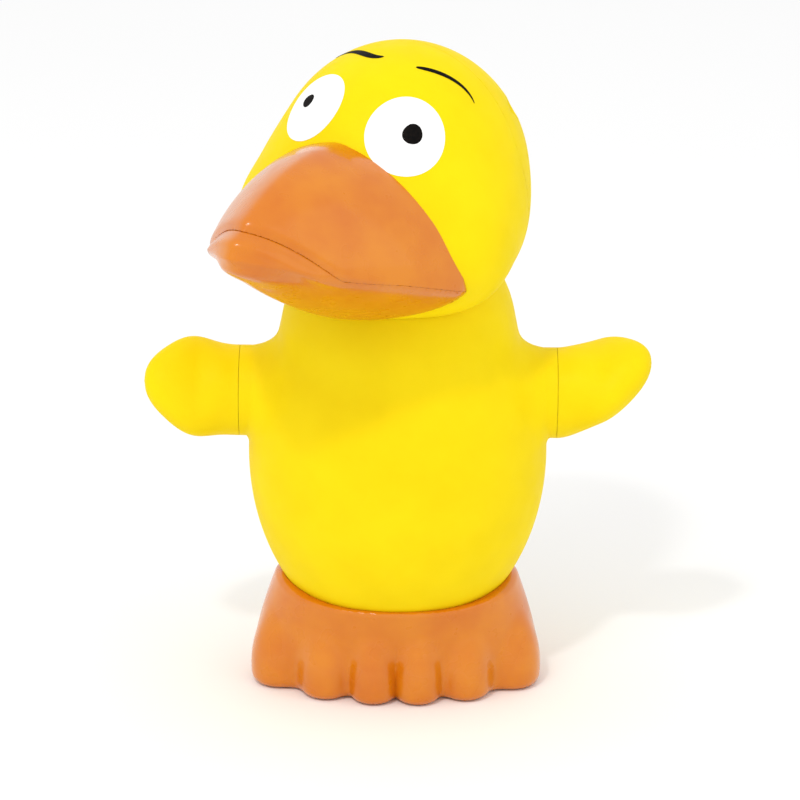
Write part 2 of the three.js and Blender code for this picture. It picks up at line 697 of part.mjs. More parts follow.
const HEAD_SCREWS = [[18.5, 10], [-18.5, 10], [21.5, -15], [-21.5, -15]];
const HEAD_SCREW_SEAT = 11;
const BEAK_SCREWS = { x: 7, z: 6, seat: -24.6 };
const PIN_Z = JAW.z - HEAD_HEIGHT;                // the jaw pin's height from the head centre
const LIP_GAP = 0.2;                              // between the two bills

function aboveMouth(lift) {
  return placedOnBeak(box([-FAR, -FAR, lift], [FAR, FAR, FAR]));
}

function belowMouth(lift) {
  return placedOnBeak(box([-FAR, -FAR, -FAR], [FAR, FAR, lift]));
}

// Height of the mouth plane at a place along y.
function mouthZ(y) {
  return BEAK.centre[2] - (y - BEAK.centre[1]) * Math.tan(BEAK.pitch);
}

// Turns a solid about the jaw pin, in the head centre's frame, by an opening angle.
function opened(solid, angle) {
  return moved(moved(solid, 0, -JAW.y, -PIN_Z).rotate([angle / DEGREE, 0, 0]), 0, JAW.y, PIN_Z);
}

function jawClearance() {
  const bill = placedOnBeak(beakSolid(0.6, 32, 12)).intersect(belowMouth(GAP));
  const tongueSlot = box([-7, -34, -24], [7, -8, -12]);
  return join(...[0, 1 / 3, 2 / 3, 1].map((share) => opened(bill, share * JAW.opening)), tongueSlot);
}

// Barrels along y at the two frame screws or the two beak screws, in the head centre's frame.
function framePosts(radius, from, to, sides = 16) {
  return [-1, 1].map((side) => (
    barrel('y', radius, from, to, [side * FRAME_SCREWS.x, FRAME_SCREWS.z - HEAD_HEIGHT], sides)));
}

function beakPosts(radius, from, to, sides = 8) {
  return [-1, 1].map((side) => barrel('y', radius, from, to, [side * BEAK_SCREWS.x, BEAK_SCREWS.z], sides));
}

function headCasing() {
  const outer = headSolid(0, 32, 18);
  const hollow = headSolid(-WALL, 20, 12);
  const screwBosses = HEAD_SCREWS.map((centre) => barrel('y', POST.head, -6, 30, centre, 10));
  const posts = framePosts(POST.frame, FRAME_SCREWS.face + GAP, 35);
  const bosses = join(...screwBosses, ...posts).intersect(outer);
  const holes = HEAD_SCREWS.map((centre) => barrel('y', SCREW.hole, -4, 30, centre, 8));
  const wells = HEAD_SCREWS.map((centre) => (
    barrel('y', SCREW.head + GAP, HEAD_SCREW_SEAT, 35, centre, 10)));
  const neck = ball(NECK.radius + NECK_CLEARANCE, [0, 0, -HEAD_HEIGHT]);
  return cut(join(outer.subtract(hollow), bosses), ...holes, ...wells,
    ...framePosts(SCREW.hole, 0, 21, 8), neck);
}

function headFrontShell(headShell) {
  const front = headShell.intersect(box([-FAR, -FAR, -FAR], [FAR, HEAD_PARTING, FAR]));
  const wells = beakPosts(SCREW.head + GAP, BEAK_SCREWS.seat - 0.1, 0, 12);
  return cut(front, ...beakPosts(SCREW.hole, -40, 0), ...wells, jawClearance());
}

function headBackShell(headShell) {
  return headShell.intersect(box([-FAR, HEAD_PARTING + GAP, -FAR], [FAR, FAR, FAR]));
}

const headShell = headCasing();
add(headGroup, 'head_front_shell', headFrontShell(headShell), YELLOW_VINYL);
add(headGroup, 'head_back_shell', headBackShell(headShell), YELLOW_VINYL);
HEAD_SCREWS.forEach(([x, z], i) => {
  addScrew(headGroup, `head_screw_${i + 1}`, [x, HEAD_SCREW_SEAT + 0.1, z], [0, -1, 0], 13);
});

// ---------------------------------------------------------------- beak

function upperBeak() {
  const outer = beakSolid(0, 32, 16);
  const hollow = slice(beakSolid(-BEAK.wall, 20, 12), BEAK.wall, FAR)
    .subtract(mouthArch(BEAK.wall, MOUTH.back + BEAK.wall));
  const lips = mouthArch(LIP_GAP / 2, MOUTH.back + LIP_GAP);
  const shell = placedOnBeak(cut(outer, hollow, lips)).intersect(aboveMouth(LIP_GAP / 2));
  const posts = join(...beakPosts(POST.beak, -36, -10, 16)).intersect(placedOnBeak(outer));
  const behind = box([-FAR, -5, -FAR], [FAR, FAR, FAR]);
  return cut(join(shell, posts), ...beakPosts(SCREW.hole, -33, 0), headSolid(GAP + 0.2, 32, 18), behind);
}

// The lower bill with its tongue, its hinge barrel and the tail that the push rod lifts.
function lowerBeak() {
  const whole = beakSolid(0, 32, 16);
  const below = whole.intersect(box([-FAR, -FAR, -FAR], [FAR, 9, -LIP_GAP / 2]));
  const lips = whole.intersect(mouthArch(-LIP_GAP / 2, MOUTH.back));
  const outer = below.add(lips);
  const hollow = slice(beakSolid(-BEAK.wall, 20, 12), -FAR, -BEAK.wall);
  const frameRoom = box([-FRAME_CHEEK.outer - 1, -16, -FAR], [FRAME_CHEEK.outer + 1, 0, 0]);
  const bill = placedOnBeak(outer.subtract(hollow)).subtract(frameRoom);
  const tongue = sidePlate([
    [-36, mouthZ(-36) - 1.1], [-26, mouthZ(-26) + 0.3], [JAW.y, PIN_Z + 1.6], [2.5, PIN_Z + 1.6],
    [2.5, PIN_Z - 1.5], [JAW.y, PIN_Z - 1.5], [-26, mouthZ(-26) - 2.4], [-36, mouthZ(-36) - 2.9],
  ], -4, 4);
  const hinge = barrel('x', 2.8, -6.5, 6.5, [JAW.y, PIN_Z]);
  const pinHole = barrel('x', JAW.pinRadius + GAP, -10, 10, [JAW.y, PIN_Z], 16);
  const keepOut = moved(neckKeepOut(), 0, 0, -HEAD_HEIGHT);
  const neck = ball(NECK.radius + NECK_CLEARANCE, [0, 0, -HEAD_HEIGHT])
    .intersect(box([-FAR, -FAR, -FAR], [FAR, JAW.y - 2, FAR]));
  return cut(join(bill.subtract(neck).subtract(opened(neck, -JAW.opening)), tongue, hinge),
    pinHole, keepOut, opened(keepOut, -JAW.opening));
}

add(headGroup, 'upper_beak', upperBeak(), ORANGE_VINYL);
add(headGroup, 'lower_beak', lowerBeak(), ORANGE_VINYL);
SIDES.forEach(([name, side]) => {
  const { x, z, seat } = BEAK_SCREWS;
  addScrew(headGroup, `beak_screw_${name}`, [side * x, seat, z], [0, -1, 0], 8);
});

export default group;
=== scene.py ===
"""The looks of a moving mouth duck puppet: soft yellow vinyl shells, glossy orange beak and feet,
painted eyes, and the plastic and steel works inside.

Every vinyl piece is a solid described by a signed field in millimetres, negative inside, and is
turned into a mesh by dual contouring. The frame gives the places: the neck pivot, the stick, the
jaw pin and the wing axles come from the joints, and the feet from their node's box.
"""

import json
import math

import bpy
import numpy as np
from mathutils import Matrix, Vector


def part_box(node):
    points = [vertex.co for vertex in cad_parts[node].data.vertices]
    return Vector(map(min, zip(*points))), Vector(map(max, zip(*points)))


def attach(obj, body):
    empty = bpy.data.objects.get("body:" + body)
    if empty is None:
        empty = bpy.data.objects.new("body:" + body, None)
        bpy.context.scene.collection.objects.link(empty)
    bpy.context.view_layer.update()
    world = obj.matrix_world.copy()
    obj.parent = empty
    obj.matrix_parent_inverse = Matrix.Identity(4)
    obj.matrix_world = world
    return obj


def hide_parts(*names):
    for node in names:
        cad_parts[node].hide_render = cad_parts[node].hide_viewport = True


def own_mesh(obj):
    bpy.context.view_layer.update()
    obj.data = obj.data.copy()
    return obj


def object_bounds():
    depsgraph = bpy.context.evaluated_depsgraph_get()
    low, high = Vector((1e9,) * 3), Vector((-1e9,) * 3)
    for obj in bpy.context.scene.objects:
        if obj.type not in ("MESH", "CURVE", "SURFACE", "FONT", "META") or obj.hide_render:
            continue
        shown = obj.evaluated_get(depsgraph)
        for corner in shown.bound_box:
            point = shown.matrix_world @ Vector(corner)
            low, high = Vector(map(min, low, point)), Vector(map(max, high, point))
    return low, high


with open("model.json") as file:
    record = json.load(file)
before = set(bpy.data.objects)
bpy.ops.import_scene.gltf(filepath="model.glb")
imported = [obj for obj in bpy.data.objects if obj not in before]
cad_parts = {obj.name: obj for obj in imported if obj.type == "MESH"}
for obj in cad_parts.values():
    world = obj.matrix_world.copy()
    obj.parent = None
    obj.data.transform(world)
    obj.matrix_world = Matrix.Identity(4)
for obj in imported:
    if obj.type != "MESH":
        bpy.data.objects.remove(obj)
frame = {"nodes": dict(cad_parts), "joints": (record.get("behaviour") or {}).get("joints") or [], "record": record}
cad_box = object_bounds()

MM = 0.001
JOINTS = {joint["name"]: joint for joint in frame["joints"]}
SLOTS = {row["node"]: row["material_slot"] for row in frame["record"]["subparts"]}

# ------------------------------------------------------------------ sizes, in millimetres

WALL = 2.6                       # vinyl shells
SEAM = 0.03                      # half the hairline between two shells that are screwed together
FIT = 0.08                       # gap round a piece that moves, where it can be seen
LIP_GAP = 0.012                  # between the two bills

BELLY_CENTRE = (0, 0, 54)
BELLY_RADII = (33.6, 28.5, 44.8)
BELLY_FLOOR = 14.5
NECK_RADIUS = 26.3
NECK_MOUTH = math.radians(48)    # half angle of the opening in the neck dome
NECK_PLAY = 0.15                 # between the dome and the head's socket
NECK_ROOM = 0.6                  # between the dome and the lower bill
NECK_REACH = math.radians(37)    # half angle of the cone that the lower bill may reach down in

HEAD_HEIGHT = 41.7               # head centre over the neck pivot, along the stick
CRANIUM = ((0, 0, -5), (28.1, 29.5, 30.4))
MUZZLE = ((0, -6.9, -11.4), (31.7, 26, 21.8))
CHEEK = ((20.5, -12, -14.8), 10.6)
HEAD_PARTING = 6.15

BEAK_CENTRE = (0, -21.7, -17.8)
BEAK_PITCH = math.radians(20)
BEAK_HALF_WIDTH = 29.3
BEAK_LENGTH = 48.5
BEAK_CROWN = 26.8
BEAK_KEEL = 12.3
BEAK_WALL = 2.2
LIP_RISE = 5.9                   # the mouth line rises by this in the middle,
LIP_DROP = 6.8                   # and falls by this to its corners
LIP_HALF_WIDTH = 16.4
LIP_RELIEF = (                   # swell, height over the mouth line, and width
    (0.6, -2.5, 1.5),
    (0.2, 2.4, 1.6),
    (-0.5, 0, 1.3),
)

WING_SEAT = 35.5                 # face of the body's collar that the wing turns on
WING_ROOT = 10.2
WING_LENGTH = 20.9
WING_RISE = 9.5
WING_TURN = {"left_wing": math.radians(25), "right_wing": math.radians(60)}
WING_PLUG = 4.8
WING_BOSS = 26.5                 # inner face of the boss that the wing's flange sits behind
WING_BOSS_RADIUS = 13.5
WING_FLANGE = (7.6, 2.2)         # radius and thickness
WING_AXLE_X = 0.3                # the joint's place past the collar's face
WING_PLAY = 0.07                 # between the collar's face and the wing's root

FEET_FRONT = (17.4, 22.6)        # depth in front at the floor and at full height
TOES = ((5.0, -16.1, 5.5), (15.7, -12.8, 6.0), (26.6, -5.5, 6.3))   # x, y, radius; mirrored in x
TOE_MIDDLE = 4.2                 # height of a toe's fullest place
TOE_HEIGHT = 11.5                # from there to its top


# ------------------------------------------------------------------ fields

def soft_min(a, b, softness):
    share = np.clip(0.5 + 0.5 * (b - a) / softness, 0, 1)
    return b * (1 - share) + a * share - softness * share * (1 - share)


def soft_max(a, b, softness):
    return -soft_min(-a, -b, softness)


def smooth_step(value, low, high):
    t = np.clip((value - low) / (high - low), 0, 1)
    return t * t * (3 - 2 * t)


def join(*fields):
    return np.minimum.reduce(fields)


def common(*fields):
    return np.maximum.reduce(fields)


def cut(field, *tools):
    return np.maximum.reduce([field] + [-tool for tool in tools])


def sphere(p, centre, radius):
    return np.linalg.norm(p - np.array(centre, float), axis=1) - radius


def ellipsoid(p, centre, radii):
    scaled = (p - np.array(centre, float)) / np.array(radii, float)
    return (np.linalg.norm(scaled, axis=1) - 1) * min(radii)


def block(p, low, high):
    return np.max(np.maximum(np.array(low, float) - p, p - np.array(high, float)), axis=1)


def barrel(p, axis, radius, low, high, centre=(0, 0)):
    """A cylinder along x, y or z (axis 0, 1 or 2); centre gives its other two coordinates."""
    across = [i for i in range(3) if i != axis]
    ring = np.hypot(p[:, across[0]] - centre[0], p[:, across[1]] - centre[1]) - radius
    return np.maximum.reduce([ring, low - p[:, axis], p[:, axis] - high])


def cone(p, half_angle):
    """The inside of a cone standing on its point at the origin and opening along +Z."""
    return np.hypot(p[:, 0], p[:, 1]) * math.cos(half_angle) - p[:, 2] * math.sin(half_angle)


def side_plate(p, outline, half_width):
    """A plate from a closed (y, z) outline, centred on x = 0."""
    y, z = p[:, 1], p[:, 2]
    nearest = np.full(len(p), 1e9)
    inside = np.zeros(len(p), bool)
    for (y0, z0), (y1, z1) in zip(outline, outline[1:] + outline[:1]):
        ey, ez = y1 - y0, z1 - z0
        t = np.clip(((y - y0) * ey + (z - z0) * ez) / (ey * ey + ez * ez), 0, 1)
        nearest = np.minimum(nearest, np.hypot(y - y0 - t * ey, z - z0 - t * ez))
        if ez:
            inside ^= ((z0 > z) != (z1 > z)) & (y < ey * (z - z0) / ez + y0)
    return common(np.where(inside, -nearest, nearest), np.abs(p[:, 0]) - half_width)


def turned_about_x(p, angle, centre=(0, 0)):
    """Points turned by an angle about an axis along x through (y, z) = centre."""
    y, z = p[:, 1] - centre[0], p[:, 2] - centre[1]
    c, s = math.cos(angle), math.sin(angle)
    return np.stack([p[:, 0], centre[0] + c * y - s * z, centre[1] + s * y + c * z], axis=1)


def mirrored(p):
    """Points folded onto the side of positive x, for what is alike left and right."""
    return np.stack([np.abs(p[:, 0]), p[:, 1], p[:, 2]], axis=1)


def evened(field, p, step=0.1):
    """The field divided by its slope, so that it measures millimetres near the surface."""
    value = field(p)
    return value / np.maximum(np.linalg.norm(slope(field, p, step), axis=1), 0.02)


TETRAHEDRON = np.array([(1, -1, -1), (-1, -1, 1), (-1, 1, -1), (1, 1, 1)], float)


def slope(field, p, step=0.05):
    return sum(np.outer(field(p + step * k), k) for k in TETRAHEDRON) / (4 * step)


# ------------------------------------------------------------------ dual contouring

BLOCK = 4                        # cells along a block's edge; far blocks are skipped


def in_chunks(field, p, size=400_000):
    return np.concatenate([field(p[i:i + size]) for i in range(0, len(p), size)])


def sampled(field, low, blocks, cell):
    """Field values at the grid's nodes. Far from the surface they only have the right sign."""
    axes = [low[i] + cell * BLOCK * np.arange(blocks[i] + 1) for i in range(3)]
    corners = np.stack(np.meshgrid(*axes, indexing="ij"), axis=-1)
    rough = in_chunks(field, corners.reshape(-1, 3)).reshape(blocks + 1)
    near = np.abs(rough) < 2.2 * cell * BLOCK
    marked = np.zeros(blocks, bool)
    for dx in (0, 1):
        for dy in (0, 1):
            for dz in (0, 1):
                marked |= near[dx:dx + blocks[0], dy:dy + blocks[1], dz:dz + blocks[2]]
    value = rough
    for axis in range(3):
        value = np.repeat(value, BLOCK, axis=axis)
    value = value[:blocks[0] * BLOCK + 1, :blocks[1] * BLOCK + 1, :blocks[2] * BLOCK + 1].copy()
    steps = np.arange(BLOCK + 1)
    inner = np.stack(np.meshgrid(steps, steps, steps, indexing="ij"), axis=-1).reshape(-1, 3)
    index = (np.argwhere(marked)[:, None, :] * BLOCK + inner).reshape(-1, 3)
    value[tuple(index.T)] = in_chunks(field, low + cell * index)
    return value


def crossings(field, value, low, cell, axis):
    """Grid edges along one axis that the surface crosses: start node, point and direction."""
    ahead = np.take(value, range(1, value.shape[axis]), axis=axis)
    here = np.take(value, range(value.shape[axis] - 1), axis=axis)
    start = np.argwhere((here < 0) != (ahead < 0))
    first, last = here[tuple(start.T)], ahead[tuple(start.T)]
    unit = np.eye(3)[axis]
    origin = low + cell * start
    share = first / (first - last)
    middle = in_chunks(field, origin + np.outer(share * cell, unit))
    same = (middle < 0) == (first < 0)
    span_low, span_high = np.where(same, share, 0), np.where(same, 1, share)
    value_low, value_high = np.where(same, middle, first), np.where(same, last, middle)
    share = span_low + (span_high - span_low) * value_low / (value_low - value_high + 1e-30)
    return start, origin + np.outer(share * cell, unit), first < 0


def contoured(field, low, high, cell):
    """Vertices and quads of the field's surface, with edges kept crisp."""
    low, high = np.array(low, float), np.array(high, float)
    blocks = np.ceil((high - low) / (cell * BLOCK)).astype(int)
    value = sampled(field, low, blocks, cell)
    cells = np.array(value.shape) - 1
    strides = np.array([cells[1] * cells[2], cells[2], 1])
    points, normals, owners, quads = [], [], [], []
    for axis in range(3):
        start, point, leaving = crossings(field, value, low, cell, axis)
        sides = [(axis + 1) % 3, (axis + 2) % 3]
        room = np.all((start[:, sides] > 0) & (start[:, sides] < cells[sides]), axis=1)
        start, point, leaving = start[room], point[room], leaving[room]
        normal = slope(lambda q: in_chunks(field, q), point)
        base = start @ strides
        step_b, step_c = strides[sides[0]], strides[sides[1]]
        around = np.stack([base - step_b - step_c, base - step_c, base, base - step_b], axis=1)
        quads.append(np.where(leaving[:, None], around, around[:, ::-1]))
        points.append(np.repeat(point, 4, axis=0))
        normals.append(np.repeat(normal, 4, axis=0))
        owners.append(around.reshape(-1))
    owners = np.concatenate(owners)
    points, normals = np.concatenate(points), np.concatenate(normals)
    normals /= np.maximum(np.linalg.norm(normals, axis=1, keepdims=True), 1e-12)
    used, owner = np.unique(owners, return_inverse=True)
    faces = np.searchsorted(used, np.concatenate(quads))
    return placed_vertices(points, normals, owner, used, strides, low, cell), faces


def placed_vertices(points, normals, owner, used, strides, low, cell, pull=0.06):
    """One vertex in each crossed cell, where the planes of its crossings meet best."""
    total = len(used)
    count = np.bincount(owner, minlength=total)
    mean = np.stack([np.bincount(owner, points[:, i], total) for i in range(3)], 1) / count[:, None]
    reach = np.einsum("ij,ij->i", normals, points - mean[owner])
    matrix = np.empty((total, 3, 3))
    vector = np.empty((total, 3))
    for i in range(3):
        vector[:, i] = np.bincount(owner, normals[:, i] * reach, total)
        for j in range(3):
            matrix[:, i, j] = np.bincount(owner, normals[:, i] * normals[:, j], total)
    matrix += pull * np.eye(3)
    vertex = mean + np.linalg.solve(matrix, vector[:, :, None])[:, :, 0]
    index = np.stack([used // strides[0], used // strides[1] % (strides[0] // strides[1]),
                      used % strides[1]], axis=1)
    corner = low + cell * index
    return np.clip(vertex, corner, corner + cell)


# ------------------------------------------------------------------ frames

def moved(points, matrix):
    return points @ matrix[:3, :3].T + matrix[:3, 3]


def facing(azimuth, elevation):
    """A direction from azimuth, straight ahead (-y) towards +x, and elevation, in degrees."""
    a, e = math.radians(azimuth), math.radians(elevation)
    return np.array([math.sin(a) * math.cos(e), -math.cos(a) * math.cos(e), math.sin(e)])


def joint_point(name):
    return np.array(JOINTS[name]["pos_m"]) / MM


def head_frame_matrix():
    """The head centre's frame: x along the jaw pin, z up the stick, in millimetres."""
    matrix = np.eye(4)
    matrix[:3, 2] = JOINTS["head_turn"]["axis"]
    matrix[:3, 0] = JOINTS["jaw_open"]["axis"]
    matrix[:3, 1] = np.cross(matrix[:3, 2], matrix[:3, 0])
    matrix[:3, 3] = joint_point("head_turn") + HEAD_HEIGHT * matrix[:3, 2]
    return matrix


def wing_frame_matrix(name):
    """A wing's frame: its axle's place, turned about x as the wing is at rest."""
    turn = WING_TURN[name]
    matrix = np.eye(4)
    matrix[1:3, 1:3] = [[math.cos(turn), -math.sin(turn)], [math.sin(turn), math.cos(turn)]]
    matrix[:3, 3] = joint_point(name + "_turn")
    return matrix


NECK = joint_point("nod")
HEAD = head_frame_matrix()
JAW = (np.linalg.inv(HEAD) @ np.append(joint_point("jaw_open"), 1))[1:3]
LEAN = math.atan2(-HEAD[1, 2], HEAD[2, 2])
WING_Z = joint_point("left_wing_turn")[2]
FEET_BOX = [np.array(corner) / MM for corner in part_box("feet_base")]


# ------------------------------------------------------------------ the skins

def body_skin(p, inset=0.0):
    belly = ellipsoid(p, BELLY_CENTRE, [radius - inset for radius in BELLY_RADII])
    return soft_min(belly, sphere(p, NECK, NECK_RADIUS - inset), 2)


def body_with_collars(p):
    """The body with a collar for each wing, which flows out of the side in a soft fillet."""
    x = np.abs(p[:, 0])
    ring = np.hypot(p[:, 1], p[:, 2] - WING_Z) - WING_ROOT
    softness = 0.01 + 4 * (1 - smooth_step(x, WING_SEAT - 4, WING_SEAT))
    return common(soft_min(body_skin(p), common(ring, 20 - x), softness), x - WING_SEAT)


def head_skin(p, inset=0.0):
    cranium = ellipsoid(p, CRANIUM[0], [radius - inset for radius in CRANIUM[1]])
    muzzle = ellipsoid(p, MUZZLE[0], [radius - inset for radius in MUZZLE[1]])
    cheek = sphere(mirrored(p), CHEEK[0], CHEEK[1] - inset)
    return soft_min(soft_min(cranium, muzzle, 6), cheek, 6)


def on_beak(p):
    """Points in the beak's own frame: x across, -y to the tip, z up from the mouth plane."""
    return turned_about_x(p - np.array(BEAK_CENTRE, float), BEAK_PITCH)


def beak_shape(q, inset=0.0):
    """0 on the beak's skin. Its ridge, keel and tip are rounded off by hypot's small side."""
    plan = ((np.hypot(q[:, 0], 0.8) / (BEAK_HALF_WIDTH - inset)) ** 1.33
            + np.abs(q[:, 1] / (BEAK_LENGTH - inset)) ** 1.33) ** (1 / 1.33)
    height = np.abs(q[:, 2])
    upper = (plan ** 2.34 + (height / (BEAK_CROWN - inset)) ** 1.43) ** (1 / 2.34) - 1
    lower = (plan ** 1.43 + (height / (BEAK_KEEL - inset)) ** 1.43) ** (1 / 1.43) - 1
    return np.where(q[:, 2] > 0, upper, lower)


def beak_skin(q, inset=0.0):
    return evened(lambda points: beak_shape(points, inset), q)


def front_of_beak(q):
    """1 where the lips are full and 0 well behind them, where the bills just meet."""
    return smooth_step(-q[:, 1], 25, 34)


def mouth_height(q):
    """The mouth line's height: an arch over the front, turned down at its corners."""
    across = np.minimum(np.abs(q[:, 0]) / LIP_HALF_WIDTH, 1)
    return (LIP_RISE - LIP_DROP * across ** 2) * smooth_step(-q[:, 1], 14, 29)


def lipped_beak(q):
    """The beak's skin with full lips along the front of the mouth and a groove between them."""
    above = q[:, 2] - mouth_height(q)
    relief = sum(swell * np.exp(-((above - height) / width) ** 2)
                 for swell, height, width in LIP_RELIEF)
    return beak_skin(q) - relief * front_of_beak(q)


def mouth_recess(q):
    return 1.6 * smooth_step(-beak_skin(q, 3.2), 0, 3)


# ------------------------------------------------------------------ body and feet

BODY_SCREWS = ((19, 86), (-19, 86), (22, 33), (-22, 33))
BODY_SCREW_SEAT = 8
BODY_POST = 4.2                  # radius of the posts that take the body's screws
BRACKET_SCREWS = ((8, 75), (-8, 75))
BRACKET_FACE = 18.6
BRACKET_POST = 3.2
BELLY_SCREW_Y = (-9, 9)
BELLY_POST = 3.6
SCREW_HOLE = 1.35
SCREW_WELL = 2.6
BASE_SCREWS = ((16, 9), (-16, 9), (16, -7), (-16, -7))
BASE_POST = 3.4
PLATE_THICKNESS = 2.4
PLATE_PLAY = 0.15                # round the plate's edge
FEET_WALL = 4
FEET_LEDGE = 2                   # width of the rim that surrounds the plate
FEET_CAVITY_ROOF = 10


def in_neck_frame(p):
    return turned_about_x(p - NECK, -LEAN)


def body_casing(p):
    outer = body_with_collars(p)
    hollow = common(body_skin(p, WALL), BELLY_FLOOR + WALL - p[:, 2])
    folded = mirrored(p)
    bosses = [barrel(folded, 0, WING_BOSS_RADIUS, WING_BOSS, 40, (0, WING_Z))]
    bosses += [barrel(p, 1, BODY_POST, -30, 30, centre) for centre in BODY_SCREWS]
    bosses += [barrel(p, 1, BRACKET_POST, BRACKET_FACE, 35, centre) for centre in BRACKET_SCREWS]
    bosses += [barrel(p, 2, BELLY_POST, BELLY_FLOOR, 24, (0, y)) for y in BELLY_SCREW_Y]
    casing = join(cut(outer, hollow), common(join(*bosses), outer))
    tools = [barrel(folded, 0, WING_PLUG + 0.3, 20, 45, (0, WING_Z))]
    tools += [barrel(p, 1, SCREW_HOLE, -8, 30, centre) for centre in BODY_SCREWS]
    tools += [barrel(p, 1, SCREW_WELL, BODY_SCREW_SEAT, 30, centre) for centre in BODY_SCREWS]
    tools += [barrel(p, 1, SCREW_HOLE, 10, 25, centre) for centre in BRACKET_SCREWS]
    tools += [barrel(p, 2, SCREW_HOLE, 10, 22.5, (0, y)) for y in BELLY_SCREW_Y]
    casing = soft_max(casing, -cone(in_neck_frame(p), NECK_MOUTH), 0.8)
    return common(cut(casing, *tools), BELLY_FLOOR - p[:, 2])


def hand_opening(p):
    """A rounded slot through the back, with its rim falling softly inwards."""
    half_width, low, high, corner = 16, 30, 70, 12
    across = np.maximum(np.abs(p[:, 0]) - (half_width - corner), 0)
    up = np.maximum(np.abs(p[:, 2] - (low + high) / 2) - ((high - low) / 2 - corner), 0)
    return common(np.hypot(across, up) - corner, 5 - p[:, 1])


def body_front(p):
    return common(body_casing(p), p[:, 1] + SEAM)


def body_back(p):
    return soft_max(common(body_casing(p), SEAM - p[:, 1]), -hand_opening(p), 1.6)


def feet_cup(p):
    """Both feet as one cup, without the toes: it narrows upwards, but flares out in front."""
    level = np.clip(p[:, 2] / FEET_BOX[1][2], 0, 1)
    front = FEET_FRONT[0] + (FEET_FRONT[1] - FEET_FRONT[0]) * level ** 1.7
    depth = np.where(p[:, 1] < 0, front, FEET_BOX[1][1])
    taper = 1 - 0.16 * np.clip((level - 0.25) / 0.75, 0, 1) ** 1.4
    plan = np.hypot(p[:, 0] / (FEET_BOX[1][0] * taper), p[:, 1] / depth)
    return (plan - 1) * 20


def feet_skin(p, inset=0.0):
    """The cup with six toes that swell out of its front and round under at the floor."""
    folded = mirrored(p)
    skin = feet_cup(p)
    for x, y, radius in TOES:
        toe = ellipsoid(folded, (x, y, TOE_MIDDLE), (radius, radius * 1.1, TOE_HEIGHT))
        skin = soft_min(skin, toe, 2.0)
    return skin + inset


def rim_height(p):
    """The feet's top edge: lower in front than at the sides."""
    sideways = p[:, 0] ** 2 / (p[:, 0] ** 2 + p[:, 1] ** 2 + 1e-6)
    return FEET_BOX[1][2] - 3 * (1 - sideways ** 3)


def feet_base(p):
    floor = FEET_BOX[0][2]
    skin = soft_max(feet_skin(p), floor - p[:, 2], 2.4)
    skin = soft_max(skin, p[:, 2] - rim_height(p), 1.2)
    pocket = common(body_skin(p, -SEAM * 2), BELLY_FLOOR - 0.1 - p[:, 2])
    cavity = common(feet_skin(p, FEET_WALL), p[:, 2] - FEET_CAVITY_ROOF)
    recess = common(feet_skin(p, FEET_LEDGE), p[:, 2] - PLATE_THICKNESS - 0.1)
    posts = [barrel(p, 2, BASE_POST, PLATE_THICKNESS + 0.1, FEET_CAVITY_ROOF + 1, centre)
             for centre in BASE_SCREWS]
    holes = [barrel(p, 2, SCREW_HOLE, -1, 9, centre) for centre in BASE_SCREWS]
    holes += [barrel(p, 2, SCREW_HOLE, 9, 16, (0, y)) for y in BELLY_SCREW_Y]
    return cut(join(cut(skin, pocket, cavity, recess), *posts), *holes)


def base_plate(p):
    edge = feet_skin(p, FEET_LEDGE + PLATE_PLAY)
    plate = common(edge, FEET_BOX[0][2] - p[:, 2], p[:, 2] - PLATE_THICKNESS)
    wells = [barrel(p, 2, SCREW_WELL, -1, 1.65, centre) for centre in BASE_SCREWS]
    holes = [barrel(p, 2, SCREW_HOLE, -1, 4, centre) for centre in BASE_SCREWS]
    return cut(plate, *wells, *holes)


# ------------------------------------------------------------------ wings

def wing_paddle(p):
    """A curved paddle from its root at x = 0 out along +x, rising along +z."""
    along = p[:, 0] / WING_LENGTH
    beyond = np.clip(np.hypot(np.maximum(along, 0), 0.15) - 0.15, 0, 1.2) / 0.861
    end = np.clip((along - 0.28) / 0.72, 0, None)
    tip = np.sqrt(np.maximum(0.0004, 1 - end ** 2.4))
    half_width = (WING_ROOT + 1.4 * np.sin(np.pi * np.minimum(1, beyond * 1.1)) ** 2) * tip
    half_thickness = (WING_ROOT - 2.4 * smooth_step(beyond, 0, 0.4)) * tip
    height = p[:, 2] - WING_RISE * beyond
    round_section = np.hypot(p[:, 1] / half_width, height / half_thickness) - 1
    skin = round_section * np.minimum(half_width, half_thickness)
    return common(skin, -p[:, 0], p[:, 0] - WING_LENGTH)


def wing(p, side):
    """A wing with its plug and the flange that holds it in the body."""
    q = np.stack([side * p[:, 0], p[:, 1], p[:, 2]], axis=1)
    boss = WING_BOSS - WING_SEAT - WING_AXLE_X
    plug = barrel(q, 0, WING_PLUG, boss - 1, 1)
    radius, thickness = WING_FLANGE
    flange = barrel(q, 0, radius, boss - 0.1 - thickness, boss - 0.1)
    root = np.array([WING_PLAY - WING_AXLE_X, 0, 0])
    return join(wing_paddle(q - root), plug, flange)


# ------------------------------------------------------------------ head

HEAD_SCREWS = ((18.5, 10), (-18.5, 10), (21.5, -15), (-21.5, -15))
HEAD_SCREW_SEAT = 11
HEAD_POST = 3.9
FRAME_SCREWS = ((7, -5.5), (-7, -5.5))
FRAME_FACE = 11.8
FRAME_POST = 3
BEAK_SCREWS = ((7, 6), (-7, 6))
BEAK_SCREW_SEAT = -24.7
BEAK_POST = 3
JAW_OPENING = math.radians(JOINTS["jaw_open"]["range_deg"][1])
JAW_PIN_HOLE = 1.55
JAW_BARREL = (2.8, 6.5)          # radius and half length
TONGUE_HALF_WIDTH = 4
BEAK_BED = 0.5                   # the upper bill's edge is bedded this deep in the face
TONGUE_SLOT = ((-7, -34, -24), (7, -8, -12))


def neck_ball(p, radius):
    return sphere(p, (0, 0, -HEAD_HEIGHT), radius)


